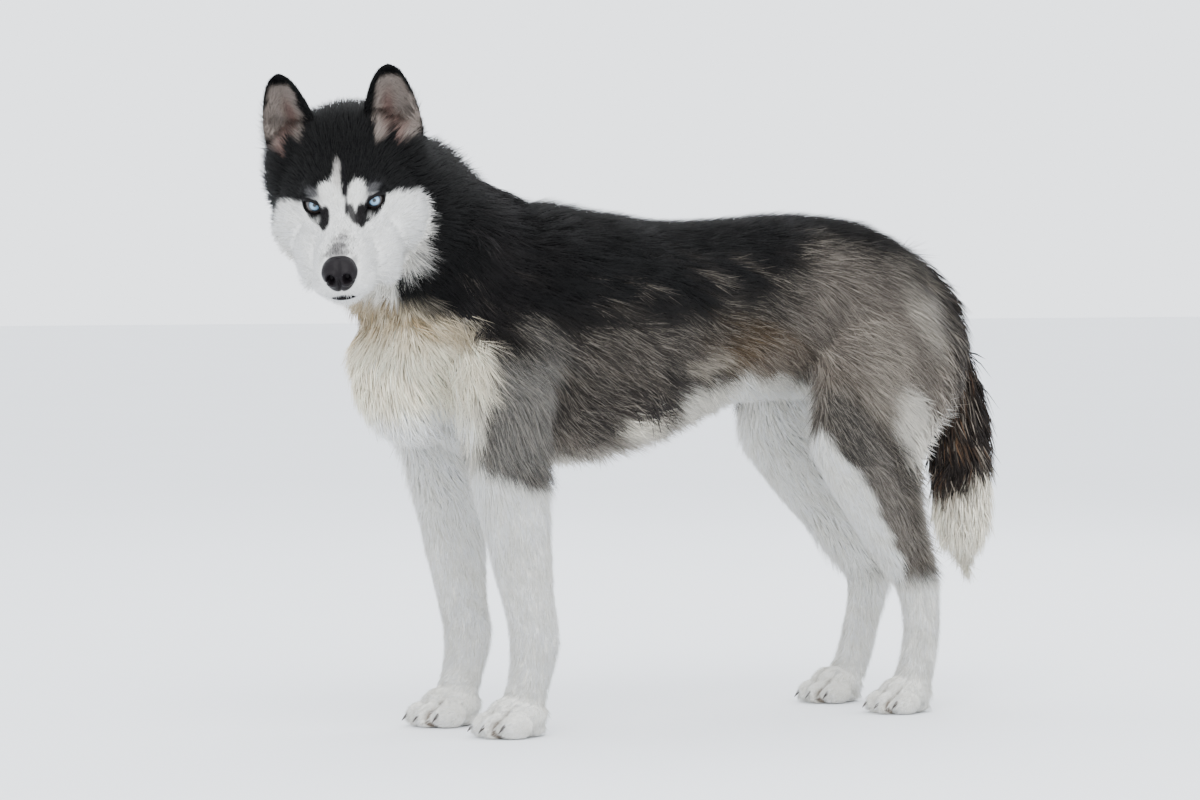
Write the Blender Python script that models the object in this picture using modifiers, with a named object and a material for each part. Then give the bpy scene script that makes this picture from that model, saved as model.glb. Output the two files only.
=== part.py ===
"""A husky, life size, standing square with its head turned to its left. Metres, +X forward, +Y to its left, +Z up."""

import math
import random
from collections import namedtuple

import bmesh
import bpy
import numpy as np
from mathutils import Matrix, Vector
from mathutils.bvhtree import BVHTree

# Driving sizes of the whole animal
WITHERS_HEIGHT = 0.574
GAP = 0.0003
AHEAD, LEFT, UP = Vector((1, 0, 0)), Vector((0, 1, 0)), Vector((0, 0, 1))

# Head: where the point between the eyes is, and how the head is turned
EYE_MIDPOINT = Vector((0.445, 0.060, 0.563))
HEAD_YAW = math.radians(56)
HEAD_PITCH = math.radians(25)
HEAD_ROLL = math.radians(5)

EYE_RADIUS = 0.0112
EYE_SPREAD = 0.0325
EYE_DEPTH = 0.0120
EYE_SLANT = math.radians(20)
EYE_OUTWARD = math.radians(17)
EYE_FACETS = (12, 8)
LID_RADIUS = 0.0128
EYE_OPENING = (0.0120, 0.0068)

# Ears: the middle of the base, the tip, and how far the cup turns outwards, on the left and on the right
Ear = namedtuple("Ear", "base tip outward")
EARS = {
    1: Ear(Vector((-0.094, 0.048, 0.030)), Vector((-0.080, 0.0545, 0.119)), math.radians(12)),
    -1: Ear(Vector((-0.094, -0.054, 0.028)), Vector((-0.080, -0.0600, 0.118)), math.radians(-16)),
}
EAR_HALF_WIDTH = 0.0315
EAR_HALF_DEPTH = 0.020
EAR_WALL = 0.0040
EAR_ROOT = 0.30
EAR_SIDES = 11
EAR_STEPS = 8

NOSE_CENTRE = Vector((0.0975, 0, -0.0335))
NOSE_SIZE = Vector((0.0135, 0.0182, 0.0158))

# Trunk: distance along the body, half width, height of the back and of the underline
Trunk = namedtuple("Trunk", "x half_width top bottom")
TRUNK = [
    Trunk(-0.350, 0.022, 0.468, 0.400),
    Trunk(-0.335, 0.050, 0.492, 0.375),
    Trunk(-0.290, 0.082, 0.526, 0.355),
    Trunk(-0.230, 0.097, 0.553, 0.348),
    Trunk(-0.150, 0.094, 0.560, 0.350),
    Trunk(-0.060, 0.094, 0.555, 0.343),
    Trunk(0.030, 0.104, 0.553, 0.309),
    Trunk(0.120, 0.110, 0.564, 0.287),
    Trunk(0.200, 0.108, WITHERS_HEIGHT, 0.287),
    Trunk(0.270, 0.096, 0.552, 0.300),
    Trunk(0.325, 0.080, 0.510, 0.322),
    Trunk(0.362, 0.050, 0.470, 0.362),
]

# Neck: centre, half width and half depth, from the shoulders to the skull
Neck = namedtuple("Neck", "x y z half_width half_depth")
NECK = [
    Neck(0.200, 0.000, 0.435, 0.096, 0.125),
    Neck(0.300, -0.004, 0.505, 0.092, 0.108),
    Neck(0.352, -0.010, 0.560, 0.086, 0.092),
    Neck(0.392, -0.008, 0.600, 0.072, 0.075),
]

# Legs on the left side: height, centre, half length fore and aft, half width
Leg = namedtuple("Leg", "z x y half_length half_width")
FORELEG = [
    Leg(0.500, 0.212, 0.064, 0.040, 0.020),
    Leg(0.440, 0.245, 0.078, 0.060, 0.032),
    Leg(0.385, 0.266, 0.083, 0.064, 0.038),
    Leg(0.330, 0.266, 0.083, 0.058, 0.038),
    Leg(0.276, 0.258, 0.081, 0.048, 0.034),
    Leg(0.235, 0.249, 0.078, 0.043, 0.031),
    Leg(0.185, 0.239, 0.075, 0.037, 0.028),
    Leg(0.140, 0.228, 0.072, 0.031, 0.0255),
    Leg(0.100, 0.220, 0.070, 0.0285, 0.0255),
    Leg(0.060, 0.226, 0.070, 0.0245, 0.0225),
    Leg(0.030, 0.236, 0.070, 0.0250, 0.0240),
]
HINDLEG = [
    Leg(0.490, -0.252, 0.052, 0.070, 0.028),
    Leg(0.430, -0.243, 0.070, 0.096, 0.038),
    Leg(0.370, -0.226, 0.080, 0.096, 0.042),
    Leg(0.310, -0.199, 0.086, 0.073, 0.038),
    Leg(0.265, -0.207, 0.084, 0.061, 0.033),
    Leg(0.220, -0.230, 0.081, 0.051, 0.028),
    Leg(0.170, -0.259, 0.077, 0.037, 0.023),
    Leg(0.140, -0.278, 0.075, 0.0285, 0.0205),
    Leg(0.095, -0.285, 0.073, 0.0235, 0.0190),
    Leg(0.055, -0.280, 0.072, 0.0230, 0.0200),
    Leg(0.030, -0.270, 0.072, 0.0240, 0.0230),
]
# How far back the right legs stand from their left ones: height and distance
Back = namedtuple("Back", "z distance")
RIGHT_FORELEG_BACK = [Back(0.13, 0.0), Back(0.20, 0.009), Back(0.27, 0.014), Back(0.50, 0.014)]
RIGHT_HINDLEG_BACK = [Back(0.0, 0.007), Back(0.09, 0.020), Back(0.15, 0.042), Back(0.22, 0.034), Back(0.42, 0.0)]

# Feet: centre ahead of the lowest leg section, scale, and the toes' places in one foot
PAW_TOP = 0.048
FOREPAW_AHEAD = 0.009
HINDPAW_AHEAD = 0.010
HINDPAW_SCALE = 0.93
TOE_RADII = Vector((0.0200, 0.0112, 0.0150))
TOES = [(0.0120, 0.0245), (0.0265, 0.0102), (0.0265, -0.0102), (0.0120, -0.0245)]
TOE_RAISED = 0.0128
CLAW_LENGTH = 0.0125
CLAW_RADIUS = 0.0027

# Tail: centre and radius from its root to its tip, out to the tips of the hair
Tail = namedtuple("Tail", "x y z radius")
TAIL = [
    Tail(-0.296, 0.000, 0.505, 0.018),
    Tail(-0.339, 0.004, 0.455, 0.026),
    Tail(-0.366, 0.010, 0.385, 0.033),
    Tail(-0.378, 0.014, 0.310, 0.039),
    Tail(-0.382, 0.016, 0.240, 0.037),
    Tail(-0.385, 0.016, 0.190, 0.024),
    Tail(-0.388, 0.016, 0.158, 0.006),
]
TAIL_SIDES = 10
TAIL_STEPS = 2
# Where the tail's brush begins, and the part of its radius that the core has from there on
BRUSH_TOP = 0.452
BRUSH_FULL = 0.400
TAIL_CORE = 0.55
TAIL_CORE_END = 0.170

# Head along its own forward axis: half width, top and bottom, from the nose back
Skull = namedtuple("Skull", "a half_width top bottom")
SKULL = [
    Skull(0.098, 0.0170, -0.021, -0.060),
    Skull(0.088, 0.0260, -0.0155, -0.072),
    Skull(0.070, 0.0300, -0.0120, -0.077),
    Skull(0.048, 0.0330, -0.0085, -0.081),
    Skull(0.026, 0.0390, -0.0030, -0.085),
    Skull(0.006, 0.0480, 0.0100, -0.089),
    Skull(-0.014, 0.0600, 0.0280, -0.093),
    Skull(-0.040, 0.0730, 0.0490, -0.097),
    Skull(-0.070, 0.0820, 0.0640, -0.099),
    Skull(-0.100, 0.0870, 0.0680, -0.095),
    Skull(-0.130, 0.0830, 0.0580, -0.084),
    Skull(-0.158, 0.0620, 0.0300, -0.060),
]

# Rounded masses on the head: name, centre and radii, those off the middle being on both sides
HEAD_MASSES = [
    ("cranium", (-0.088, 0.0, 0.024), (0.060, 0.066, 0.051)),
    ("bridge", (0.050, 0.0, -0.0255), (0.050, 0.0175, 0.0185)),
    ("chin", (0.077, 0.0, -0.0640), (0.017, 0.0155, 0.0120)),
    ("brow", (-0.024, 0.030, 0.0080), (0.024, 0.0200, 0.0160)),
    ("ruff", (-0.088, 0.046, -0.0080), (0.052, 0.0480, 0.0660)),
    ("cheek", (-0.044, 0.045, -0.0400), (0.052, 0.0420, 0.0500)),
    ("jaw", (-0.004, 0.030, -0.0520), (0.046, 0.0300, 0.0370)),
    ("lip", (0.060, 0.0165, -0.0520), (0.037, 0.0165, 0.0190)),
]

# Planes that part the body: a point and the direction of the part that is cut off
HEAD_SEAM = (Vector((0.372, -0.020, 0.565)), Vector((0.66, 0.66, 0.36)).normalized())
NECK_SEAM = (Vector((0.262, 0.000, 0.470)), Vector((0.80, 0.00, 0.60)).normalized())
LOIN_X = 0.055
RUMP_X = -0.135
ELBOW_Z = 0.262
STIFLE_Z = 0.268

# Where the body is a core under long locks: centre, radii, and how deep the core lies
Inset = namedtuple("Inset", "centre radii depth")
BODY_INSETS = [
    Inset((0.315, -0.005, 0.500), (0.135, 0.150, 0.140), 0.013),
    Inset((0.315, 0.000, 0.380), (0.110, 0.110, 0.110), 0.010),
    Inset((0.050, 0.000, 0.310), (0.220, 0.080, 0.050), 0.007),
    Inset((-0.310, 0.070, 0.360), (0.070, 0.080, 0.120), 0.009),
    Inset((-0.310, -0.070, 0.360), (0.070, 0.080, 0.120), 0.009),
]
HEAD_INSETS = [
    Inset((-0.075, 0.085, -0.035), (0.055, 0.040, 0.060), 0.006),
    Inset((-0.075, -0.085, -0.035), (0.055, 0.040, 0.060), 0.006),
]

# Long coat: a field of locks is set round an axis inside the body, facing one way and spread by an
# angle to both sides, in rows along the axis. Its locks lie one way and rise to the coat's outline.
Field = namedtuple("Field", "start end facing spread rows across lie length width rise")
BODY_FIELDS = [
    Field((0.390, -0.010, 0.590), (0.262, 0.000, 0.440), (0, 0, 1), 180, 4, 10, (-0.66, 0, -0.62), 0.090, 0.060, 0.013),
    Field((0.325, 0.000, 0.460), (0.262, 0.000, 0.330), (1, 0, 0), 76, 4, 5, (-0.25, 0, -0.95), 0.074, 0.050, 0.012),
    Field((0.200, 0.000, 0.370), (-0.100, 0.000, 0.410), (0, 0, -1), 36, 6, 2, (-0.93, 0, -0.25), 0.070, 0.042, 0.008),
]
SIDE_FIELDS = [
    Field((-0.270, 0.045, 0.450), (-0.235, 0.078, 0.265), (-1, 0, 0), 62, 4, 2, (-0.35, 0, -0.90), 0.074, 0.044, 0.010),
    Field((0.245, 0.084, 0.340), (0.240, 0.078, 0.270), (-1, 0, 0), 30, 3, 1, (-0.30, 0, -0.95), 0.056, 0.036, 0.007),
]
CHEEK_FIELDS = [
    Field((-0.040, 0.010, -0.035), (-0.115, 0.010, -0.030), (0, 1, -0.30), 50, 2, 3, (-0.70, 0.0, -0.70), 0.050, 0.036, 0.006),
]
TAIL_FIELDS = [
    Field((-0.358, 0.008, 0.432), (-0.378, 0.015, 0.280), (-1, 0, 0), 180, 4, 4, (-0.05, 0, -1), 0.088, 0.052, 0.016),
    Field((-0.378, 0.015, 0.270), (-0.384, 0.016, 0.205), (-1, 0, 0), 180, 2, 4, (-0.05, 0, -1), 0.072, 0.044, 0.008),
]
# One lock along its length: how far along, how high above the core, how broad and how deep
LOCK_RINGS = [(-0.06, -1.0, 0.70, 1.00), (0.28, 0.45, 1.00, 1.00), (0.68, 0.85, 0.66, 0.65)]
LOCK_DEPTH = 0.13
LOCK_CLEARANCE = 0.0008
LOCK_ROOT = 0.006
LOCK_PROUD = 0.002
OVER_CORE = 0.7
SWELL_STEPS = 200
SWELL_RATE = 1.6
NEAR = 0.05

NECK_ROOM = (0.19, -0.16, 0.36), (0.50, 0.16, 0.72)
COAT_VOXEL = 0.0050
BODY_VOXEL = 0.0055
HEAD_VOXEL = 0.0022
PAW_VOXEL = 0.0020
BODY_TRIANGLES = 2200
HEAD_TRIANGLES = 1500
PAW_TRIANGLES = 170

COLOURS = {
    "black coat": (0.020, 0.019, 0.021),
    "grey coat": (0.115, 0.100, 0.090),
    "cream coat": (0.62, 0.57, 0.49),
    "white coat": (0.76, 0.75, 0.72),
    "nose leather": (0.030, 0.028, 0.030),
    "claw horn": (0.060, 0.045, 0.038),
    "eye": (0.34, 0.52, 0.66),
}


def clear_scene():
    """Removes whatever the file was opened with."""
    for obj in list(bpy.data.objects):
        bpy.data.objects.remove(obj)


def linked(name, mesh, collection):
    obj = bpy.data.objects.new(name, mesh)
    collection.objects.link(obj)
    return obj


def helper(name, bm, turn_out=True):
    """An object in the cutters' collection, made from a bmesh, with its faces turned outwards if asked."""
    if turn_out:
        bmesh.ops.recalc_face_normals(bm, faces=bm.faces)
    mesh = bpy.data.meshes.new(name)
    bm.to_mesh(mesh)
    bm.free()
    obj = linked(name, mesh, CUTTERS)
    obj.hide_render = True
    obj.display_type = "WIRE"
    return obj


def bake(obj):
    """Applies all of an object's modifiers."""
    bpy.context.view_layer.update()
    graph = bpy.context.evaluated_depsgraph_get()
    mesh = bpy.data.meshes.new_from_object(obj.evaluated_get(graph))
    obj.modifiers.clear()
    obj.data = mesh
    return obj


def combine(obj, other, operation):
    """A Boolean of two closed meshes, applied at once."""
    modifier = obj.modifiers.new(operation, "BOOLEAN")
    modifier.operation = operation
    modifier.solver = "EXACT"
    modifier.object = other
    bake(obj)
    bpy.data.objects.remove(other)
    return obj


def combine_all(obj, others, operation):
    """One Boolean of a mesh with a whole collection of closed meshes, applied at once."""
    if not others:
        return obj
    group = bpy.data.collections.new("pieces")
    bpy.context.scene.collection.children.link(group)
    for other in others:
        group.objects.link(other)
    # Bent faces are split first, because the solver may split them in another way afterwards.
    obj.modifiers.new("Triangulate", "TRIANGULATE")
    modifier = obj.modifiers.new(operation, "BOOLEAN")
    modifier.operation = operation
    modifier.solver = "MANIFOLD"
    modifier.operand_type = "COLLECTION"
    modifier.collection = group
    bake(obj)
    for other in others:
        bpy.data.objects.remove(other)
    bpy.data.collections.remove(group)
    return obj


def copy_of(obj, name, collection):
    return linked(name, obj.data.copy(), collection)


def keep_largest(obj):
    """Drops all but the largest closed surface of a mesh."""
    bm = bmesh.new()
    bm.from_mesh(obj.data)
    bm.verts.ensure_lookup_table()
    seen = set()
    islands = []
    for start in bm.verts:
        if start in seen:
            continue
        island, stack = [], [start]
        seen.add(start)
        while stack:
            vert = stack.pop()
            island.append(vert)
            for edge in vert.link_edges:
                other = edge.other_vert(vert)
                if other not in seen:
                    seen.add(other)
                    stack.append(other)
        islands.append(island)
    largest = max(islands, key=len)
    for island in islands:
        if island is not largest:
            bmesh.ops.delete(bm, geom=island, context="VERTS")
    bm.to_mesh(obj.data)
    bm.free()
    return obj


def fill_in(rows, steps=4):
    """Rows of numbers with smooth ones between them, on a Catmull-Rom curve through the given rows."""
    table = np.array(rows, float)
    table = np.vstack([2 * table[0] - table[1], table, 2 * table[-1] - table[-2]])
    filled = []
    for i in range(1, len(table) - 2):
        before, here, there, after = table[i - 1 : i + 3]
        for t in np.arange(steps) / steps:
            curve = 2 * here + (there - before) * t
            curve = curve + (2 * before - 5 * here + 4 * there - after) * t**2
            curve = curve + (3 * here - before - 3 * there + after) * t**3
            filled.append(curve / 2)
    filled.append(table[-2])
    return np.array(filled)


def oval(centre, side, up, half_width, rise, drop, power=2.2, sides=28):
    """The points of one cross-section: a rounded oval that may rise more than it drops."""
    points = []
    for i in range(sides):
        angle = 2 * math.pi * i / sides
        across, along = math.cos(angle), math.sin(angle)
        reach = half_width * math.copysign(abs(across) ** (2 / power), across)
        height = (rise if along > 0 else drop) * math.copysign(abs(along) ** (2 / power), along)
        points.append(centre + side * reach + up * height)
    return points


def loft(name, sections):
    """A closed skin over cross-sections that have the same number of points."""
    bm = bmesh.new()
    loops = [[bm.verts.new(point) for point in section] for section in sections]
    count = len(loops[0])
    for low, high in zip(loops, loops[1:]):
        for i in range(count):
            j = (i + 1) % count
            bm.faces.new((low[i], low[j], high[j]))
            bm.faces.new((low[i], high[j], high[i]))
    bm.faces.new(loops[0])
    bm.faces.new(loops[-1])
    return helper(name, bm)


def ellipsoid(name, centre, radii, segments=24, rings=14):
    bm = bmesh.new()
    place = Matrix.Translation(centre) @ Matrix.Diagonal(Vector(radii).to_4d())
    bmesh.ops.create_uvsphere(bm, u_segments=segments, v_segments=rings, radius=1, matrix=place)
    return helper(name, bm)


def block(name, low, high, turn=Matrix.Identity(4)):
    """A box between two corners, turned about the origin and then moved by a matrix."""
    bm = bmesh.new()
    low, high = Vector(low), Vector(high)
    size = Matrix.Diagonal((high - low).to_4d())
    bmesh.ops.create_cube(bm, size=1, matrix=turn @ Matrix.Translation((low + high) / 2) @ size)
    return helper(name, bm)


def beyond(name, seam, shift=0.0, reach=0.6):
    """A box that fills the far side of a seam, which may be shifted along its direction."""
    point, direction = seam
    turn = direction.to_track_quat("Z", "Y").to_matrix().to_4x4()
    place = Matrix.Translation(point + direction * shift) @ turn
    return block(name, (-reach, -reach, 0), (reach, reach, reach), place)


def merged(name, pieces, voxel, smoothing):
    """Overlapping closed pieces remeshed as one smooth body."""
    bm = bmesh.new()
    for piece in pieces:
        bm.from_mesh(piece.data)
        bpy.data.objects.remove(piece)
    whole = helper(name, bm)
    remesh = whole.modifiers.new("Remesh", "REMESH")
    remesh.mode = "VOXEL"
    remesh.voxel_size = voxel
    smooth = whole.modifiers.new("Smooth", "SMOOTH")
    smooth.factor = 0.5
    smooth.iterations = smoothing
    return bake(whole)


def thinned(obj, triangles):
    """Fewer triangles, fewest where the form is flat."""
    triangulate = obj.modifiers.new("Triangulate", "TRIANGULATE")
    triangulate.min_vertices = 4
    bake(obj)
    decimate = obj.modifiers.new("Decimate", "DECIMATE")
    decimate.ratio = min(1.0, triangles / len(obj.data.polygons))
    return bake(obj)


def sculpted(obj, strokes):
    """Moves the surface by soft strokes: each has a centre, a radius and the move at its middle."""
    points = np.empty(len(obj.data.vertices) * 3)
    obj.data.vertices.foreach_get("co", points)
    points = points.reshape(-1, 3)
    for centre, radius, move in strokes:
        distance = np.linalg.norm(points - np.array(centre), axis=1) / radius
        strength = np.clip(1 - distance**2, 0, 1) ** 2
        points += strength[:, None] * np.array(move)
    obj.data.vertices.foreach_set("co", points.ravel())
    return obj


def depth_at(points, insets):
    """How deep the core lies under the coat's outline at some points."""
    depths = np.zeros(len(points))
    for centre, radii, depth in insets:
        distance = np.linalg.norm((points - np.array(centre)) / np.array(radii), axis=1)
        depths = np.maximum(depths, depth * np.clip(2.2 * (1.25 - distance), 0, 1))
    return depths


def inset(obj, insets):
    """Sinks the surface where long locks will stand on it, deepest in the middle of each place."""
    mesh = obj.data
    points = np.empty(len(mesh.vertices) * 3)
    normals = np.empty(len(mesh.vertices) * 3)
    mesh.vertices.foreach_get("co", points)
    mesh.vertices.foreach_get("normal", normals)
    points, normals = points.reshape(-1, 3), normals.reshape(-1, 3)
    sunk = depth_at(points, insets)
    mesh.vertices.foreach_set("co", (points - normals * sunk[:, None]).ravel())
    return obj


def both_sides(strokes):
    """Strokes on the left and their mirror images on the right."""
    mirrored = [((x, -y, z), radius, (dx, -dy, dz)) for (x, y, z), radius, (dx, dy, dz) in strokes]
    return strokes + mirrored


def trunk_piece():
    sections = []
    for x, half_width, top, bottom in fill_in(TRUNK):
        widest = bottom + 0.56 * (top - bottom)
        centre = Vector((x, 0, widest))
        sections.append(oval(centre, LEFT, UP, half_width, top - widest, widest - bottom))
    return loft("trunk", sections)


def neck_piece():
    rows = fill_in(NECK)
    sections = []
    for i, (x, y, z, half_width, half_depth) in enumerate(rows):
        ahead = Vector(rows[min(i + 1, len(rows) - 1)][:3]) - Vector(rows[max(i - 1, 0)][:3])
        side = UP.cross(ahead).normalized()
        up = ahead.cross(side).normalized()
        sections.append(oval(Vector((x, y, z)), side, up, half_width, half_depth, half_depth))
    return loft("neck", sections)


def set_back(side, is_hind, z):
    """How far back a leg stands at a height."""
    if side > 0:
        return 0.0
    rows = RIGHT_HINDLEG_BACK if is_hind else RIGHT_FORELEG_BACK
    return float(np.interp(z, [row.z for row in rows], [row.distance for row in rows]))


def leg_rows(rows, side, is_hind):
    """A leg's sections on one side, side being 1 on the left and -1 on the right."""
    for z, x, y, half_length, half_width in fill_in(rows, 3):
        yield Vector((x - set_back(side, is_hind, z), y * side, z)), half_length, half_width


def leg_piece(name, rows, side, is_hind):
    sections = [
        oval(centre, LEFT, AHEAD, half_width, half_length, half_length, 2.1)
        for centre, half_length, half_width in leg_rows(rows, side, is_hind)
    ]
    return loft(name, sections)


def head_frame():
    """The head's own axes: forward, left and up, with the origin between the eyes."""
    turn = Matrix.Rotation(HEAD_YAW, 4, "Z") @ Matrix.Rotation(HEAD_PITCH, 4, "Y")
    return Matrix.Translation(EYE_MIDPOINT) @ turn @ Matrix.Rotation(HEAD_ROLL, 4, "X")


def head_pieces():
    """The overlapping masses of the head, in the head's own axes."""
    sections = []
    for a, half_width, top, bottom in fill_in(SKULL):
        widest = (top + bottom) / 2
        centre = Vector((a, 0, widest))
        sections.append(oval(centre, LEFT, UP, half_width, top - widest, widest - bottom))
    pieces = [loft("skull", sections)]
    for name, centre, radii in HEAD_MASSES:
        pieces.append(ellipsoid(name, centre, radii))
        if centre[1]:
            pieces.append(ellipsoid(name, (centre[0], -centre[1], centre[2]), radii))
    return pieces


HEAD_STROKES = both_sides(
    [
        ((0.012, 0.036, 0.002), 0.022, (-0.0050, -0.0020, -0.0010)),
        ((0.034, 0.034, -0.020), 0.026, (0, -0.0040, 0)),
        ((-0.004, 0.020, 0.034), 0.022, (0.0010, 0, 0.0010)),
        ((-0.025, 0.060, 0.020), 0.030, (0, -0.0040, 0)),
    ]
) + [
    ((0.010, 0.0, 0.016), 0.022, (-0.0035, 0, -0.0015)),
    ((-0.045, 0.0, 0.060), 0.024, (0.0, 0, -0.0025)),
]


def eye_frame(side):
    """An eye's own axes: forward out of the head, and turned by the slant of its lids."""
    place = Matrix.Translation((-EYE_DEPTH, side * EYE_SPREAD, 0.0))
    turn = Matrix.Rotation(side * EYE_OUTWARD, 4, "Z") @ Matrix.Rotation(math.radians(-8), 4, "Y")
    return place @ turn @ Matrix.Rotation(side * EYE_SLANT, 4, "X")


def almond(name, frame, half_length, half_height, low, high, sides=20):
    """A pointed oval prism along an eye's forward axis."""
    sections = []
    for depth, grow in ((low, 0.80), (high, 1.25)):
        points = []
        for i in range(sides):
            angle = 2 * math.pi * i / sides
            across = math.cos(angle)
            height = math.copysign(abs(math.sin(angle)) ** 1.3, math.sin(angle))
            points.append(frame @ Vector((depth, grow * half_length * across, grow * half_height * height)))
        sections.append(points)
    return loft(name, sections)


def ear_sections(side, grow, cup):
    """An ear's cross-sections from its root to its tip: the outside, or the hollow of its cup."""
    base, tip, outward = EARS[side]
    up = (tip - base).normalized()
    length = (tip - base).length
    front = Matrix.Rotation(outward, 3, "Z") @ Vector((1, 0, 0))
    across = up.cross(front).normalized()
    front = across.cross(up)
    start, end = (-0.02, 0.94) if cup else (-EAR_ROOT, 1.0)
    sections = []
    for i in range(EAR_STEPS + 1):
        t = start + (end - start) * math.sin(math.pi / 2 * i / EAR_STEPS) ** 1.1
        above = max(t, 0.0)
        half_width = EAR_HALF_WIDTH * (1 - above**2) ** 0.62 * (1 + min(t, 0.0))
        depth = EAR_HALF_DEPTH * (1 - above**1.7) ** 0.7
        centre = base + up * (length * t) + front * (0.003 * math.sin(math.pi * above))
        if cup:
            # The hollow narrows and comes forward at its foot, so that it closes like a scoop.
            opened = min(1.0, 0.12 + max(0.0, t - start) / 0.34) ** 0.7
            centre += front * (EAR_HALF_DEPTH * (1 - opened))
            half_width = max((half_width - EAR_WALL) * opened, 0.0012)
            back = max(depth - EAR_WALL, 0.0006) * opened
            sections.append(oval(centre, across, front, half_width, depth + 0.030, back, 2.0, EAR_SIDES))
        else:
            half_width = max(half_width, 0.0030) + grow
            depth = max(depth, 0.0018) + grow
            low_end = -up * grow if i == 0 else up * 0
            sections.append(oval(centre + low_end, across, front, half_width, depth * 0.5, depth, 2.0, EAR_SIDES))
    return sections


def nose_piece(grow=0.0):
    """The nose leather: a rounded pad, wider above than below, with its top running back."""
    sections = []
    for i in range(9):
        t = -1 + 2 * i / 8
        swell = math.sqrt(max(0.0, 1 - abs(t) ** 2.6))
        half_width = (NOSE_SIZE.y * swell + 0.0008) + grow
        rise = (NOSE_SIZE.z * (0.86 * swell + 0.06)) + grow
        drop = (NOSE_SIZE.z * (1.0 * swell) + 0.0008) + grow
        stretch = NOSE_SIZE.x + grow
        centre = NOSE_CENTRE + Vector((t * stretch, 0, 0.0026 * (1 - t) / 2))
        sections.append(oval(centre, LEFT, UP, half_width, rise, drop, 2.3, 14))
    return loft("nose_form", sections)


def mouth_cutter(head):
    """A thin groove along the lips, from one corner of the mouth round the front to the other."""
    points = []
    for i in range(-7, 8):
        along = abs(i) / 7
        a = 0.0985 - 0.070 * along**1.6
        height = -0.0590 - 0.0040 * math.sin(math.pi * along) + 0.0050 * along**3
        outside = Vector((a + 0.02, math.copysign(0.06 * min(1, 2.2 * along), i), height))
        if i == 0:
            outside = Vector((0.15, 0, height))
        target = Vector((a - 0.020, 0, height))
        hit, place, _, _ = head.ray_cast(outside, (target - outside).normalized())
        if hit:
            points.append(place)
    curve = bpy.data.curves.new("mouth_line", "CURVE")
    curve.dimensions = "3D"
    curve.bevel_depth = 0.0015
    curve.bevel_resolution = 1
    curve.use_fill_caps = True
    line = curve.splines.new("POLY")
    line.points.add(len(points) - 1)
    for point, place in zip(line.points, points):
        point.co = place.to_4d()
    tube = linked("mouth_tube", curve, CUTTERS)
    bpy.context.view_layer.update()
    graph = bpy.context.evaluated_depsgraph_get()
    bm = bmesh.new()
    bm.from_mesh(bpy.data.meshes.new_from_object(tube.evaluated_get(graph)))
    bmesh.ops.remove_doubles(bm, verts=bm.verts, dist=0.00005)
    bpy.data.objects.remove(tube)
    return helper("mouth_cutter", bm)


def set_head(obj):
    """Takes a piece from the head's own axes to its place on the body."""
    obj.data.transform(head_frame())
    return obj


def make_head(coat):
    """The head on its end of the neck, without its ears, eyes and nose, and with a socket for each of them."""
    stub = combine(copy_of(coat, "stub", CUTTERS), block("neck_room", *NECK_ROOM), "INTERSECT")
    stub.data.transform(head_frame().inverted())
    head = merged("head", head_pieces() + [stub], HEAD_VOXEL, 12)
    sculpted(head, HEAD_STROKES)
    inset(head, HEAD_INSETS)
    thinned(head, HEAD_TRIANGLES)
    cheeks = [field for side in (1, -1) for field in on_side(CHEEK_FIELDS, side)]
    cheek_locks = grown_locks(head, cheeks, HEAD_INSETS)
    for side in (1, -1):
        frame = eye_frame(side)
        lid = ellipsoid("lid", frame.translation, (LID_RADIUS,) * 3, 16, 10)
        combine(head, lid, "UNION")
    combine(head, mouth_cutter(head), "DIFFERENCE")
    for side in (1, -1):
        frame = eye_frame(side)
        socket = ellipsoid("socket", frame.translation, (EYE_RADIUS + GAP,) * 3, *EYE_FACETS)
        combine(head, socket, "DIFFERENCE")
        opening = almond("opening", frame, *EYE_OPENING, 0.002, 0.030)
        combine(head, opening, "DIFFERENCE")
        combine(head, loft("ear_socket", ear_sections(side, GAP, False)), "DIFFERENCE")
    combine(head, nose_piece(GAP), "DIFFERENCE")
    set_head(head)
    combine(head, beyond("head_side", HEAD_SEAM, GAP), "INTERSECT")
    return keep_largest(head), [lock.moved(head_frame()) for lock in cheek_locks]


def make_ear(side):
    ear = loft("ear_form", ear_sections(side, 0, False))
    combine(ear, loft("ear_cup", ear_sections(side, 0, True)), "DIFFERENCE")
    return set_head(keep_largest(ear))


def make_eye(side):
    frame = eye_frame(side)
    eye = ellipsoid("eye_form", frame.translation, (EYE_RADIUS,) * 3, *EYE_FACETS)
    return set_head(eye)


def make_nose():
    nose = nose_piece()
    for side in (1, -1):
        place = Matrix.Translation(NOSE_CENTRE + Vector((0.0125, side * 0.0078, -0.0040)))
        turn = Matrix.Rotation(side * math.radians(35), 4, "Z")
        bm = bmesh.new()
        radii = Matrix.Diagonal(Vector((0.0075, 0.0030, 0.0036)).to_4d())
        bmesh.ops.create_uvsphere(bm, u_segments=10, v_segments=6, radius=1, matrix=place @ turn @ radii)
        combine(nose, helper("nostril", bm), "DIFFERENCE")
    slot = (0.004, -0.0006, -0.020), (0.020, 0.0006, -0.001)
    philtrum = block("philtrum", *slot, Matrix.Translation(NOSE_CENTRE))
    combine(nose, philtrum, "DIFFERENCE")
    return set_head(keep_largest(nose))


def paw_centre(side, is_hind):
    row = (HINDLEG if is_hind else FORELEG)[-1]
    ahead = (HINDPAW_AHEAD if is_hind else FOREPAW_AHEAD) - set_back(side, is_hind, 0.0)
    return Vector((row.x + ahead, side * row.y, 0))


def toe_place(centre, scale, toe):
    ahead, across = toe
    return centre + Vector((ahead, across, TOE_RAISED)) * scale


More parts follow.
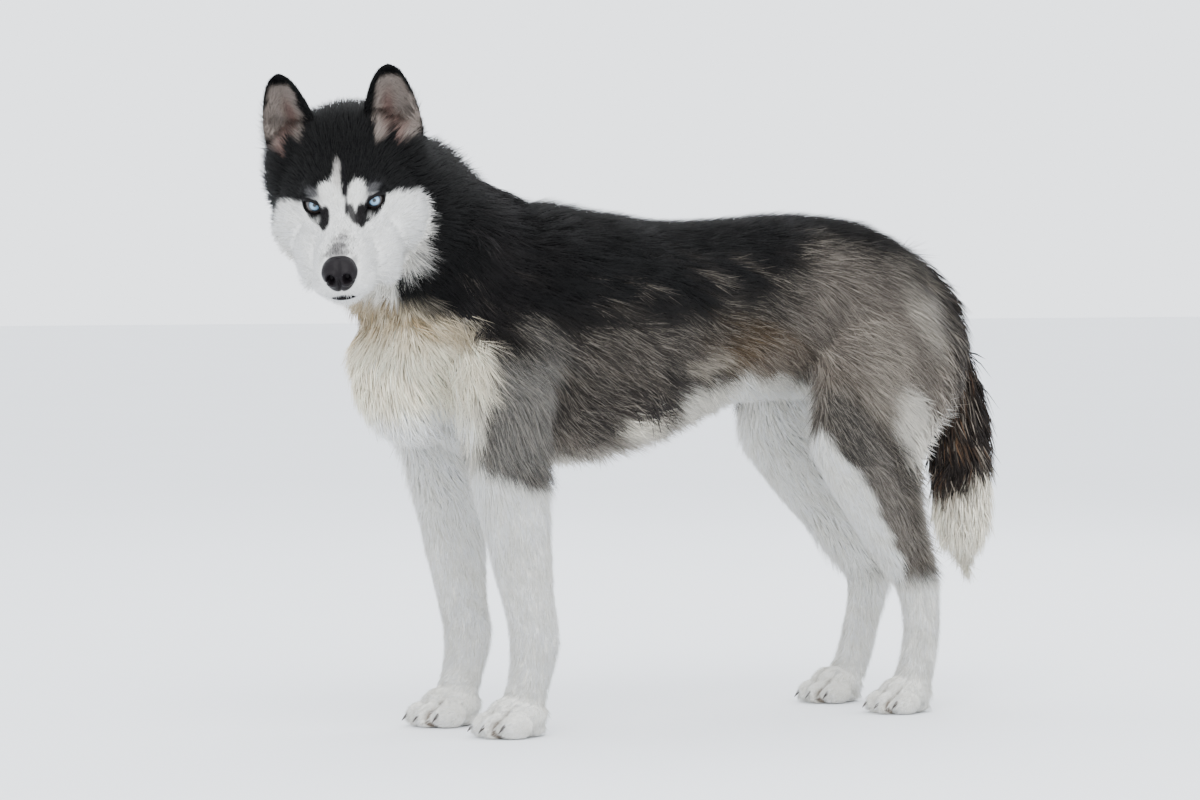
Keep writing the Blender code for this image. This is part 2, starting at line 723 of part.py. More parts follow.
def make_claw(name, centre, scale, toe, grow=0.0):
    """One claw: a curved horn from inside a toe's end, its tip clear of the floor."""
    root = toe_place(centre, scale, toe) + Vector((0.0120, toe[1] * 0.10, 0.0035)) * scale
    rise = Vector((0.45, 0, 1)).normalized()
    sections = []
    for i in range(3):
        t = i / 2
        drop = 0.0028 * t + 0.0062 * t * t
        middle = root + Vector((CLAW_LENGTH * t, toe[1] * 0.06 * t, -drop)) * scale
        radius = CLAW_RADIUS * scale * (1 - 0.80 * t**1.4) + grow
        if i == 0:
            middle.x -= grow
        sections.append(oval(middle, LEFT, rise, radius * 0.8, radius, radius, 2, 5))
    return loft(name, sections)


def make_paw(side, is_hind):
    """A foot with four toes, flat where it stands, cut from the same leg that it ends."""
    rows, scale = (HINDLEG, HINDPAW_SCALE) if is_hind else (FORELEG, 1.0)
    centre = paw_centre(side, is_hind)
    low_rows = [row for row in leg_rows(rows, side, is_hind) if row[0].z < 0.115]
    sections = [
        oval(middle, LEFT, AHEAD, half_width, half_length, half_length, 2.1)
        for middle, half_length, half_width in low_rows
    ]
    pieces = [loft("pastern", sections)]
    palm = centre + Vector((-0.004, 0, 0.024)) * scale
    pieces.append(ellipsoid("palm", palm, Vector((0.034, 0.029, 0.023)) * scale))
    pad = centre + Vector((-0.012, 0, 0.009)) * scale
    pieces.append(ellipsoid("pad", pad, Vector((0.024, 0.023, 0.013)) * scale))
    for toe in TOES:
        pieces.append(ellipsoid("toe", toe_place(centre, scale, toe), TOE_RADII * scale))
    paw = merged("paw", pieces, PAW_VOXEL, 3)
    between = [((TOES[i][0] + TOES[i + 1][0]) / 2, (TOES[i][1] + TOES[i + 1][1]) / 2) for i in range(3)]
    grooves = []
    for ahead, across in between:
        spot = centre + Vector((ahead + 0.010, across, 0.018)) * scale
        grooves.append((tuple(spot), 0.012 * scale, (-0.0015 * scale, 0, -0.0030 * scale)))
    sculpted(paw, grooves)
    thinned(paw, PAW_TRIANGLES)
    room = block("paw_room", (-0.6, -0.6, 0), (0.6, 0.6, PAW_TOP - GAP))
    combine(paw, room, "INTERSECT")
    claws = []
    for number, toe in enumerate(TOES, 1):
        combine(paw, make_claw("claw_socket", centre, scale, toe, GAP), "DIFFERENCE")
        claws.append((number, make_claw("claw_form", centre, scale, toe)))
    return keep_largest(paw), claws


def tail_piece(grow=0.0):
    """The tail as a core: full at its root, and thin where the brush's locks stand on it."""
    rows = [row for row in fill_in(TAIL, TAIL_STEPS) if row[2] > TAIL_CORE_END]
    sections = []
    for i, (x, y, z, radius) in enumerate(rows):
        ahead = Vector(rows[min(i + 1, len(rows) - 1)][:3]) - Vector(rows[max(i - 1, 0)][:3])
        up = ahead.cross(LEFT).normalized()
        place = Vector((x, y, z))
        radius *= 1 - (1 - TAIL_CORE) * min(1.0, max(0.0, (BRUSH_TOP - z) / (BRUSH_TOP - BRUSH_FULL)))
        if i == 0:
            place -= ahead.normalized() * grow
        if i == len(rows) - 1:
            place += ahead.normalized() * grow
        sections.append(oval(place, LEFT, up, radius + grow, radius + grow, radius + grow, 2, TAIL_SIDES))
    return loft("tail_form", sections)


def on_side(fields, side):
    """Fields given for the left, or their mirror images on the right."""
    mirror = Matrix.Diagonal((1, side, 1))
    mirrored = []
    for field in fields:
        ways = {key: tuple(mirror @ Vector(getattr(field, key))) for key in ("start", "end", "facing", "lie")}
        mirrored.append(field._replace(**ways))
    return mirrored


def swell(bm, margin):
    """Moves each corner of a closed mesh out until it is a margin off every face round it."""
    bm.normal_update()
    moves = {}
    for vert in bm.verts:
        move = Vector()
        for _ in range(SWELL_STEPS):
            shortfall = 0.0
            for face in vert.link_faces:
                short = max(0.0, margin - move.dot(face.normal))
                move += face.normal * (SWELL_RATE * short)
                shortfall = max(shortfall, short)
            if shortfall < 0.02 * margin:
                break
        moves[vert] = move
    for vert, move in moves.items():
        vert.co += move


class Lock:
    """One flat, tapered lock of hair: rings along a spine, each with its own axes and half sizes, and a tip."""

    def __init__(self, rings, tip):
        self.rings = rings
        self.tip = tip

    def moved(self, place):
        turn = place.to_3x3()
        rings = [(place @ centre, turn @ side, turn @ up, *sizes) for centre, side, up, *sizes in self.rings]
        return Lock(rings, place @ self.tip)

    def solid(self, margin=0.0):
        """The lock as a closed mesh, or with a margin all round it."""
        bm = bmesh.new()
        loops = []
        for centre, side, up, half_width, half_depth in self.rings:
            reach, depth = side * half_width, up * half_depth
            corners = (centre + reach - depth, centre + depth, centre - reach - depth)
            loops.append([bm.verts.new(corner) for corner in corners])
        tip = bm.verts.new(self.tip)
        for low, high in zip(loops, loops[1:]):
            for i in range(3):
                # In this order the faces point outwards, also where the lock is twisted.
                bm.faces.new((low[i], low[i - 2], high[i - 2]))
                bm.faces.new((low[i], high[i - 2], high[i]))
        for i in range(3):
            bm.faces.new((loops[-1][i], loops[-1][i - 2], tip))
        bm.faces.new(reversed(loops[0]))
        if margin:
            swell(bm, margin)
        return helper("lock", bm, turn_out=False)

    def box(self):
        """The lowest and highest corner round the lock."""
        points = [self.tip]
        for centre, side, _, half_width, _ in self.rings:
            points += [centre + side * half_width, centre - side * half_width]
        points = np.array([tuple(point) for point in points])
        return points.min(axis=0), points.max(axis=0)


def surface_of(obj):
    return BVHTree.FromPolygons([v.co for v in obj.data.vertices], [p.vertices for p in obj.data.polygons])


def grown_locks(obj, fields, insets=()):
    """The locks of some fields on a core, each following its surface, varied from a fixed seed."""
    core = surface_of(obj)
    dice = random.Random(LOCK_SEED)
    locks = []
    for field in fields:
        start, end = Vector(field.start), Vector(field.end)
        axis = (end - start).normalized()
        facing = Vector(field.facing)
        facing = (facing - axis * facing.dot(axis)).normalized()
        for row in range(field.rows):
            for place in range(field.across):
                along = (row + 0.5 + dice.uniform(-0.15, 0.15)) / field.rows
                step = place + 0.5 + (0.25 if row % 2 else -0.25) + dice.uniform(-0.12, 0.12)
                turn = math.radians(field.spread) * (2 * step / field.across - 1)
                ray = Matrix.Rotation(turn, 3, axis) @ facing
                root, normal, _, _ = core.ray_cast(start.lerp(end, along), ray, 0.3)
                if root is not None:
                    locks.append(lock_at(core, root, normal, field, insets, dice))
    return locks


def above(core, place, normal, height):
    """A point at a height over the core, straight above or below a place near it, and the way up there."""
    for _ in range(3):
        spot, up, _, _ = core.find_nearest(place)
        up = (up + normal).normalized()
        offset = spot - place
        if abs(offset.dot(up)) < OVER_CORE * offset.length:
            # Past the core's end a lock goes straight on.
            break
        place = place + up * offset.dot(up)
    return place + up * height, up


def lock_at(core, root, normal, field, insets, dice):
    """One lock, rooted in the core and rising to the coat's outline along its lie."""
    lie = Vector(field.lie).normalized()
    lie = (lie - normal * lie.dot(normal)).normalized()
    lie = Matrix.Rotation(math.radians(dice.uniform(-12, 12)), 3, normal) @ lie
    length = field.length * dice.uniform(0.88, 1.15)
    half_width = field.width / 2 * dice.uniform(0.88, 1.12)
    half_depth = field.width * LOCK_DEPTH / 2
    rise = field.rise * dice.uniform(0.90, 1.25)
    rings = []
    for along, height, broad, deep in LOCK_RINGS:
        place = root + lie * (length * along)
        outline = min(rise, depth_at([place], insets)[0] + LOCK_PROUD) if insets else rise
        lowest = half_depth * deep + LOCK_CLEARANCE
        centre, up = above(core, place, normal, max(height * outline, lowest) if height > 0 else -LOCK_ROOT)
        rings.append((centre, up.cross(lie).normalized(), up, half_width * broad, half_depth * deep))
    place = root + lie * length
    outline = min(rise, depth_at([place], insets)[0] + LOCK_PROUD) if insets else rise
    return Lock(rings, above(core, place, normal, outline)[0])


def clear_of(lock, surfaces):
    """Whether a lock fits in the margin round it, and keeps off some closed solids with it."""
    forms = [lock.solid(), lock.solid(GAP)]
    core, skin = (surface_of(form) for form in forms)
    for form in forms:
        bpy.data.objects.remove(form)
    if core.overlap(skin):
        return False
    for surface in surfaces:
        spot, normal, _, distance = surface.find_nearest(lock.tip)
        if skin.overlap(surface) or (distance < NEAR and (lock.tip - spot).dot(normal) < 0):
            return False
    return True


def add_locks(nodes, locks_of):
    """Fuses each node's locks with it, and cuts it clear of the locks of the nodes before it."""
    cores = {name: surface_of(nodes[name]) for name in nodes}
    done = []
    for number, name in enumerate(LOCK_ORDER):
        before = [cores[other] for other in LOCK_ORDER[:number] + FIXED_NODES]
        kept = [lock for lock in locks_of.get(name, []) if clear_of(lock, before)]
        combine_all(nodes[name], [lock.solid() for lock in kept], "UNION")
        low, high = box_of(nodes[name])
        near = [lock for lock in done if near_box(lock, low, high)]
        combine_all(nodes[name], [lock.solid(GAP) for lock in near], "DIFFERENCE")
        keep_largest(nodes[name])
        done += kept


def box_of(obj):
    corners = np.array([tuple(vert.co) for vert in obj.data.vertices])
    return corners.min(axis=0), corners.max(axis=0)


def near_box(lock, low, high, margin=0.008):
    lowest, highest = lock.box()
    return bool((highest > low - margin).all() and (lowest < high + margin).all())


def outside(lock, surface):
    """Whether a lock past its root stays outside a closed surface."""
    for point in (lock.rings[1][0], lock.rings[2][0], lock.tip):
        spot, normal, _, _ = surface.find_nearest(point)
        if (point - spot).dot(normal) < 0:
            return False
    return True


def share_out(locks, nodes, names):
    """The locks of each node, which is the one whose surface a lock's root is nearest to."""
    surfaces = {name: surface_of(nodes[name]) for name in names}
    shares = {name: [] for name in names}
    for lock in locks:
        root = lock.rings[0][0]
        nearest = min(names, key=lambda name: surfaces[name].find_nearest(root)[3])
        shares[nearest].append(lock)
    return shares


def make_coat():
    """Trunk, neck and legs in one mesh, sunk where long locks will stand."""
    pieces = [trunk_piece(), neck_piece()]
    for side in (1, -1):
        pieces.append(leg_piece("foreleg", FORELEG, side, False))
        pieces.append(leg_piece("hindleg", HINDLEG, side, True))
        pieces.append(ellipsoid("buttock", (-0.300, side * 0.050, 0.405), (0.048, 0.040, 0.075)))
    pieces.append(ellipsoid("breast", (0.330, 0, 0.402), (0.066, 0.080, 0.090)))
    return inset(merged("coat", pieces, COAT_VOXEL, 4), BODY_INSETS)


def make_body(coat):
    """The body with a rough head, which the neck's top end blends into."""
    pieces = [copy_of(coat, "trunk_and_legs", CUTTERS)] + [set_head(piece) for piece in head_pieces()]
    return thinned(merged("body", pieces, BODY_VOXEL, 4), BODY_TRIANGLES)


def part_off(body, name, cut, wider):
    """Takes what lies in a box off the body as a node, and leaves the gap of the wider box."""
    node = copy_of(body, name, CUTTERS)
    combine(node, cut, "INTERSECT")
    combine(body, wider, "DIFFERENCE")
    return keep_largest(node)


def boxes(low, high, turn=Matrix.Identity(4)):
    """A box for a node, and the same box wider by the gap for the body that it leaves."""
    margin = Vector((GAP, GAP, GAP))
    low, high = Vector(low), Vector(high)
    return block("cut", low, high, turn), block("wider", low - margin, high + margin, turn)


def part_body(body):
    """The body's nodes, from the feet up."""
    combine(body, beyond("head_room", HEAD_SEAM), "DIFFERENCE")
    combine(body, block("feet_room", (-0.6, -0.6, -0.1), (0.6, 0.6, PAW_TOP)), "DIFFERENCE")
    combine(body, tail_piece(GAP), "DIFFERENCE")
    keep_largest(body)
    nodes = {}
    for word, side in (("left", 1), ("right", -1)):
        near, far = sorted((side * 0.002, side * 0.30))
        cut = boxes((0.10, near, 0.0), (0.40, far, ELBOW_Z))
        nodes["foreleg_lower_" + word] = part_off(body, "foreleg_lower", *cut)
        cut = boxes((-0.50, near, 0.0), (-0.06, far, STIFLE_Z))
        nodes["hindleg_lower_" + word] = part_off(body, "hindleg_lower", *cut)
    tilt_fore = Matrix.Translation((0.262, 0, 0.345)) @ Matrix.Rotation(math.radians(-16), 4, "Y")
    tilt_hind = Matrix.Translation((-0.235, 0, 0.355)) @ Matrix.Rotation(math.radians(17), 4, "Y")
    for word, side in (("left", 1), ("right", -1)):
        near, far = sorted((side * 0.056, side * 0.30))
        cut = boxes((-0.074, near, -0.150), (0.074, far, 0.090), tilt_fore)
        nodes["foreleg_upper_" + word] = part_off(body, "foreleg_upper", *cut)
        near, far = sorted((side * 0.034, side * 0.30))
        cut = boxes((-0.180, near, -0.150), (0.116, far, 0.095), tilt_hind)
        nodes["hindleg_upper_" + word] = part_off(body, "hindleg_upper", *cut)
    neck = beyond("neck_cut", NECK_SEAM), beyond("neck_wider", NECK_SEAM, -GAP)
    nodes["neck"] = part_off(body, "neck", *neck)
    nodes["chest"] = part_off(body, "chest", *boxes((LOIN_X, -0.3, 0), (0.6, 0.3, 0.8)))
    nodes["rump"] = part_off(body, "rump", *boxes((-0.6, -0.3, 0), (RUMP_X, 0.3, 0.8)))
    nodes["loin"] = keep_largest(body)
    return nodes


# Locks lie over the nodes that come later here, which are cut clear of them
LOCK_ORDER = ["head", "neck", "foreleg_upper_left", "foreleg_upper_right", "chest", "tail", "loin", "rump"]
LOCK_ORDER += ["hindleg_upper_left", "hindleg_upper_right", "hindleg_lower_left", "hindleg_lower_right"]
LOCK_ORDER += ["foreleg_lower_left", "foreleg_lower_right"]
FIXED_NODES = ["ear_left", "ear_right", "eye_left", "eye_right", "nose"]
LOCK_SEED = 11

NODE_COATS = {
    "head": "black coat",
    "neck": "black coat",
    "chest": "black coat",
    "loin": "grey coat",
    "rump": "grey coat",
    "tail": "grey coat",
    "hindleg_upper": "grey coat",
    "foreleg_upper": "grey coat",
    "ear": "black coat",
    "eye": "eye",
    "nose": "nose leather",
    "claw": "claw horn",
}


def material(name):
    made = bpy.data.materials.get(name)
    if made is None:
        made = bpy.data.materials.new(name)
        made.use_nodes = True
        shader = made.node_tree.nodes["Principled BSDF"]
        shader.inputs["Base Color"].default_value = (*COLOURS[name], 1)
        shader.inputs["Metallic"].default_value = 0.0
        glossy = name in ("nose leather", "claw horn", "eye")
        shader.inputs["Roughness"].default_value = 0.35 if glossy else 0.8
    return made


def place_node(name, obj, origin):
    """Moves a finished piece from the helpers to the model, under its node's name and with its coat."""
    CUTTERS.objects.unlink(obj)
    HUSKY.objects.link(obj)
    obj.name = name
    obj.data.name = name
    obj.hide_render = False
    obj.display_type = "TEXTURED"
    obj.data.shade_smooth()
    obj.data.set_sharp_from_angle(angle=math.radians(50))
    coat = next((NODE_COATS[key] for key in NODE_COATS if name.startswith(key)), "white coat")
    obj.data.materials.clear()
    obj.data.materials.append(material(coat))
    obj.parent = origin


def centre_on_floor(nodes, origin):
    """Sets the middle of the whole model's box over the origin, with its feet on the floor."""
    corners = np.array([tuple(vert.co) for obj in nodes.values() for vert in obj.data.vertices])
    middle = (corners.min(axis=0) + corners.max(axis=0)) / 2
    for obj in nodes.values():
        obj.data.transform(Matrix.Translation((-middle[0], -middle[1], 0)))
    origin.location = (0, 0, 0)


def build():
    coat = make_coat()
    body = make_body(coat)
    fields = BODY_FIELDS + [field for side in (1, -1) for field in on_side(SIDE_FIELDS, side)]
    skin = surface_of(body)
    body_locks = [lock for lock in grown_locks(coat, fields, BODY_INSETS) if outside(lock, skin)]
    nodes = part_body(body)
    nodes["head"], cheek_locks = make_head(coat)
    locks_of = share_out(body_locks, nodes, list(nodes))
    locks_of["head"] += cheek_locks
    nodes["nose"] = make_nose()
    nodes["tail"] = keep_largest(tail_piece())
    locks_of["tail"] = grown_locks(nodes["tail"], TAIL_FIELDS)
    for word, side in (("left", 1), ("right", -1)):
        nodes["ear_" + word] = make_ear(side)
        nodes["eye_" + word] = make_eye(side)
        for foot, is_hind in (("forepaw", False), ("hindpaw", True)):
            nodes[f"{foot}_{word}"], claws = make_paw(side, is_hind)
            for number, claw in claws:
                nodes[f"claw_{foot}_{word}_{number}"] = claw
    add_locks(nodes, locks_of)
    origin = bpy.data.objects.new("husky_origin", None)
    HUSKY.objects.link(origin)
    for name, obj in nodes.items():
        place_node(name, obj, origin)
    centre_on_floor(nodes, origin)


clear_scene()
HUSKY = bpy.data.collections.new("husky")
CUTTERS = bpy.data.collections.new("cutters")
for group in (HUSKY, CUTTERS):
    bpy.context.scene.collection.children.link(group)
build()
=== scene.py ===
"""A life-size husky as for a museum case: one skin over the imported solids, under a coat of solid tufts."""

from __future__ import annotations

import logging
import math
from collections.abc import Callable
from dataclasses import dataclass
from enum import Enum, IntEnum

import bpy
import numpy as np
from mathutils import Matrix, Vector
from mathutils.bvhtree import BVHTree

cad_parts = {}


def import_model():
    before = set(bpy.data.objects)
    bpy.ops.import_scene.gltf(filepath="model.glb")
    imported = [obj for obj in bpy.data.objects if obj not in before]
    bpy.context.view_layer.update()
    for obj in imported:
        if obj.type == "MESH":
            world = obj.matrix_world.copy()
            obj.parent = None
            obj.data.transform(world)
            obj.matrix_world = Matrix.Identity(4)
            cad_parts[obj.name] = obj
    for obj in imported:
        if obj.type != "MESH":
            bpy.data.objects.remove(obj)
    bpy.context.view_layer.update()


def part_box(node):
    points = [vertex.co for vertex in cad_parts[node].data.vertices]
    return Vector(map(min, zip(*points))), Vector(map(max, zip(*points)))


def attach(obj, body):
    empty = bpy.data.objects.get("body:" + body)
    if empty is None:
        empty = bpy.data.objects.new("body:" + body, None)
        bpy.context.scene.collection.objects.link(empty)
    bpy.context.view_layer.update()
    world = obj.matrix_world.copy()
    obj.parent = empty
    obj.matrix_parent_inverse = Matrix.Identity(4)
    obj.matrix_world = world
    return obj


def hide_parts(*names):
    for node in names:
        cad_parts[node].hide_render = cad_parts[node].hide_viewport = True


LOG = logging.getLogger("husky")
BODY = "root"
BAKE_MAP = "OFBake"
COLOUR = "coat_colour"
SEED = 2207
MOST_TRIANGLES = 190_000
# Each tuft's patch of the unwrap, and the gap that hair and claws keep above the floor
BAKE_PATCH = 0.003
FLOOR_GAP = 0.0004
# The skin is painted darker than the hair that covers it: painted shade under the coat.
SHADE_UNDER_HAIR = 0.8

AHEAD, LEFT, UP = Vector((1, 0, 0)), Vector((0, 1, 0)), Vector((0, 0, 1))
# The left and the right side
SIDES = (1, -1)
Triple = tuple[float, float, float]
Array = np.ndarray
Piece = bpy.types.Object


class Slot(Enum):
    """The record's finishes."""

    BLACK = "black_coat"
    GREY = "grey_coat"
    WHITE = "white_coat"
    NOSE = "nose_leather"
    CLAW = "claw_horn"
    EYE = "eye"


class Shell(IntEnum):
    """The shells that the skin is joined from, in their order. Their open edges lie inside each other."""

    BODY = 0
    HEAD = 1
    EARS = 2
    FEET = 3


# Small tools


def linear(code: str) -> Array:
    """Turns an sRGB hex colour to linear light.

    Args:
        code: Six hex digits after a hash sign.

    Returns:
        Red, green and blue between 0 and 1.
    """
    values = np.array([int(code[i : i + 2], 16) for i in (1, 3, 5)]) / 255
    return np.where(values <= 0.04045, values / 12.92, ((values + 0.055) / 1.055) ** 2.4)


def ramp(low: float, high: float, values: Array) -> Array:
    """A soft step from 0 at low to 1 at high.

    Args:
        low: Where it starts to rise.
        high: Where it reaches 1.
        values: What is stepped.

    Returns:
        The stepped values.
    """
    t = np.clip((values - low) / (high - low), 0, 1)
    return t * t * (3 - 2 * t)


def unit(vectors: Array) -> Array:
    """Rows of vectors at length 1."""
    return vectors / np.maximum(np.linalg.norm(vectors, axis=-1, keepdims=True), 1e-9)


def turned(points: Array, matrix: Matrix) -> Array:
    """Rows of points taken through a matrix."""
    table = np.array(matrix)
    return points @ table[:3, :3].T + table[:3, 3]


def clear_selection() -> None:
    """Selects nothing, because an operator acts on all that is selected."""
    if bpy.context.mode != "OBJECT":
        bpy.ops.object.mode_set(mode="OBJECT")
    bpy.ops.object.select_all(action="DESELECT")


def only(obj: Piece) -> Piece:
    """Selects one object alone and makes it active.

    Args:
        obj: The object.

    Returns:
        The same object.
    """
    clear_selection()
    obj.select_set(True)
    bpy.context.view_layer.objects.active = obj
    return obj


def named(name: str) -> Piece:
    """Names the active object and its mesh.

    Args:
        name: The piece's name.

    Returns:
        The active object.
    """
    obj = bpy.context.view_layer.objects.active
    obj.name = obj.data.name = name
    return obj


def joined(name: str, pieces: list[Piece]) -> Piece:
    """Joins pieces in one object.

    Args:
        name: Its name.
        pieces: What is joined, in order.

    Returns:
        The joined object.
    """
    clear_selection()
    for piece in pieces:
        piece.select_set(True)
    bpy.context.view_layer.objects.active = pieces[0]
    if len(pieces) > 1:
        bpy.ops.object.join()
    return named(name)


def modified(obj: Piece, kind: str, **settings: object) -> Piece:
    """Adds a modifier, sets it and applies it.

    Args:
        obj: The piece.
        kind: The modifier's type.
        settings: Its settings by name.

    Returns:
        The piece.
    """
    only(obj)
    modifier = obj.modifiers.new(kind.title(), kind)
    for key, value in settings.items():
        setattr(modifier, key, value)
    bpy.ops.object.modifier_apply(modifier=modifier.name)
    return obj


def in_order(obj: Piece) -> None:
    """Puts corners and faces in the order of their places, which a Boolean changes from run to run.

    Args:
        obj: The piece, whose mesh is written anew.
    """
    places = corners_of(obj)
    order = np.lexsort(places.T)
    rank = np.empty(len(order), int)
    rank[order] = np.arange(len(order))
    rank = rank.tolist()
    rings = []
    for face in obj.data.polygons:
        ring = [rank[i] for i in face.vertices]
        first = ring.index(min(ring))
        rings.append(ring[first:] + ring[:first])
    obj.data.clear_geometry()
    obj.data.from_pydata(places[order].tolist(), [], sorted(rings))
    obj.data.update()


def cut(obj: Piece, other: Piece, operation: str) -> Piece:
    """A Boolean of two closed pieces, after which the second one is gone.

    Args:
        obj: The piece that stays.
        other: The piece that is used up.
        operation: UNION, DIFFERENCE or INTERSECT.

    Returns:
        The piece that stays.
    """
    modified(obj, "BOOLEAN", operation=operation, solver="EXACT", object=other)
    bpy.data.objects.remove(other)
    in_order(obj)
    return obj


def corners_of(obj: Piece, name: str = "co") -> Array:
    """The places or normals of a mesh's vertices.

    Args:
        obj: The piece.
        name: co or normal.

    Returns:
        One row for each vertex.
    """
    values = np.empty(len(obj.data.vertices) * 3, np.float64)
    obj.data.vertices.foreach_get(name, values)
    return values.reshape(-1, 3)


def set_corners(obj: Piece, points: Array) -> None:
    """Moves a mesh's vertices to new places."""
    obj.data.vertices.foreach_set("co", np.asarray(points, np.float64).ravel())
    obj.data.update()


def surface_of(obj: Piece) -> BVHTree:
    """A mesh ready for nearest points and rays."""
    return BVHTree.FromPolygons([v.co for v in obj.data.vertices], [p.vertices for p in obj.data.polygons])


def ball(name: str, centre: Triple, radii: Triple, segments: int = 32, rings: int = 18) -> Piece:
    """An ellipsoid, added as a sphere and drawn to its size and place.

    Args:
        name: Its name.
        centre: Its middle.
        radii: Its half sizes.
        segments: Faces round it.
        rings: Faces from pole to pole.

    Returns:
        The piece.
    """
    clear_selection()
    bpy.ops.mesh.primitive_uv_sphere_add(segments=segments, ring_count=rings, radius=1)
    obj = named(name)
    set_corners(obj, corners_of(obj) * np.array(radii) + np.array(centre))
    return obj


def edited(obj: Piece, operator: Callable[..., set[str]], **settings: object) -> Piece:
    """Runs an operator on all of a mesh, in edit mode.

    Args:
        obj: The piece.
        operator: The mesh or UV operator.
        settings: Its settings by name.

    Returns:
        The piece.
    """
    only(obj)
    bpy.ops.object.mode_set(mode="EDIT")
    bpy.ops.mesh.select_all(action="SELECT")
    operator(**settings)
    bpy.ops.object.mode_set(mode="OBJECT")
    return obj


def linked(name: str, mesh: bpy.types.Mesh) -> Piece:
    """A new object of the scene with a mesh that was made in code."""
    obj = bpy.data.objects.new(name, mesh)
    bpy.context.scene.collection.objects.link(obj)
    return obj


def skinned(name: str, sections: list[Array]) -> Piece:
    """A closed skin over cross-sections with the same number of points, with a cap at each end.

    Args:
        name: Its name.
        sections: Points round each section, in order along the piece.

    Returns:
        The piece, with its faces outwards.
    """
    rings, sides = len(sections), len(sections[0])
    places = np.concatenate(sections)
    faces = []
    for ring in range(rings - 1):
        for i in range(sides):
            j = (i + 1) % sides
            low, high = ring * sides, (ring + 1) * sides
            faces.append((low + i, low + j, high + j, high + i))
    faces += [tuple(range(sides)), tuple(range((rings - 1) * sides, rings * sides))]
    mesh = bpy.data.meshes.new(name)
    mesh.from_pydata([tuple(place) for place in places], [], faces)
    return edited(linked(name, mesh), bpy.ops.mesh.normals_make_consistent, inside=False)


def oval(
    centre: Array | Triple, side: Array | Vector, up: Array | Vector,
    half_width: float, rise: float, drop: float, power: float = 2.2, sides: int = 32,
) -> Array:
    """One cross-section: a rounded oval that may rise more than it drops.

    Args:
        centre: Its middle.
        side: The way of its width.
        up: The way of its height.
        half_width: Half its width.
        rise: Its height above the middle.
        drop: Its depth below the middle.
        power: 2 for an ellipse, more for a squarer form.
        sides: How many points.

    Returns:
        The points, one row each.
    """
    angles = 2 * np.pi * np.arange(sides) / sides
    across, along = np.cos(angles), np.sin(angles)
    reach = half_width * np.sign(across) * np.abs(across) ** (2 / power)
    height = np.where(along > 0, rise, drop) * np.sign(along) * np.abs(along) ** (2 / power)
    return np.array(centre) + np.outer(reach, side) + np.outer(height, up)


def fill_in(rows: list[tuple[float, ...]], steps: int = 4) -> Array:
    """Rows of numbers with smooth ones between them.

    Args:
        rows: The given rows.
        steps: How many rows each gap becomes.

    Returns:
        The longer table, on a Catmull-Rom curve.
    """
    table = np.array(rows, float)
    table = np.vstack([2 * table[0] - table[1], table, 2 * table[-1] - table[-2]])
    filled = []
    for i in range(1, len(table) - 2):
        before, here, there, after = table[i - 1 : i + 3]
        for t in np.arange(steps) / steps:
            curve = 2 * here + (there - before) * t
            curve = curve + (2 * before - 5 * here + 4 * there - after) * t**2
            filled.append((curve + (3 * here - before - 3 * there + after) * t**3) / 2)
    filled.append(table[-2])
    return np.array(filled)


def bisected(obj: Piece, point: Vector, normal: Vector) -> Piece:
    """Cuts off what lies beyond a plane, and leaves the cut open.

    Args:
        obj: The piece.
        point: A point of the plane.
        normal: The way to the part that goes.

    Returns:
        The piece.
    """
    return edited(obj, bpy.ops.mesh.bisect, plane_co=point, plane_no=normal, clear_outer=True)


def remeshed(obj: Piece, voxel: float, smoothing: int) -> Piece:
    """Fuses overlapping closed pieces to one smooth surface.

    Args:
        obj: The joined pieces.
        voxel: The size of its faces.
        smoothing: How often it is smoothed.

    Returns:
        The piece.
    """
    modified(obj, "REMESH", mode="VOXEL", voxel_size=voxel)
    return modified(obj, "SMOOTH", factor=0.5, iterations=smoothing)


class Noise:
    """Smooth random values in space, the same on each run."""

    def __init__(self, seed: int, cells: int = 24) -> None:
        """Fills a block of cells that repeats.

        Args:
            seed: Which block.
            cells: Its size each way.
        """
        self.cells = cells
        self.grid = np.random.default_rng(seed).random((cells, cells, cells))

    def at(self, points: Array, size: float, stretch: Triple = (1, 1, 1)) -> Array:
        """Values between -1 and 1.

        Args:
            points: Where.
            size: The size of a cell, in metres.
            stretch: How much longer a cell is each way.

        Returns:
            One value for each point.
        """
        spots = points / (size * np.array(stretch)) + 7.3
        low = np.floor(spots).astype(int)
        part = spots - low
        part = part * part * (3 - 2 * part)
        total = np.zeros(len(points))
        for corner in np.ndindex(2, 2, 2):
            index = (low + corner) % self.cells
            weight = np.prod(np.where(np.array(corner) == 1, part, 1 - part), axis=1)
            total += weight * self.grid[index[:, 0], index[:, 1], index[:, 2]]
        return 2 * total - 1


def spin(degrees: float, axis: str) -> Matrix:
    """A turn about the X, Y or Z axis."""
    return Matrix.Rotation(math.radians(degrees), 4, axis)


def ahead_at(rows: Array, i: int) -> Vector:
    """The way that a line of sections runs at one of its rows, which start with x, y and z."""
    return Vector(rows[min(i + 1, len(rows) - 1)][:3]) - Vector(rows[max(i - 1, 0)][:3])


def pointed(angles: Array) -> Array:
    """The rise of the pointed oval between the lids, at angles round it."""
    return np.sign(np.sin(angles)) * np.abs(np.sin(angles)) ** 1.3


# The husky's shape


@dataclass(frozen=True)
class Ear:
    """One ear in the head's own axes, and how far its cup is turned outwards, in degrees."""

    base: Triple
    tip: Triple
    outward: float


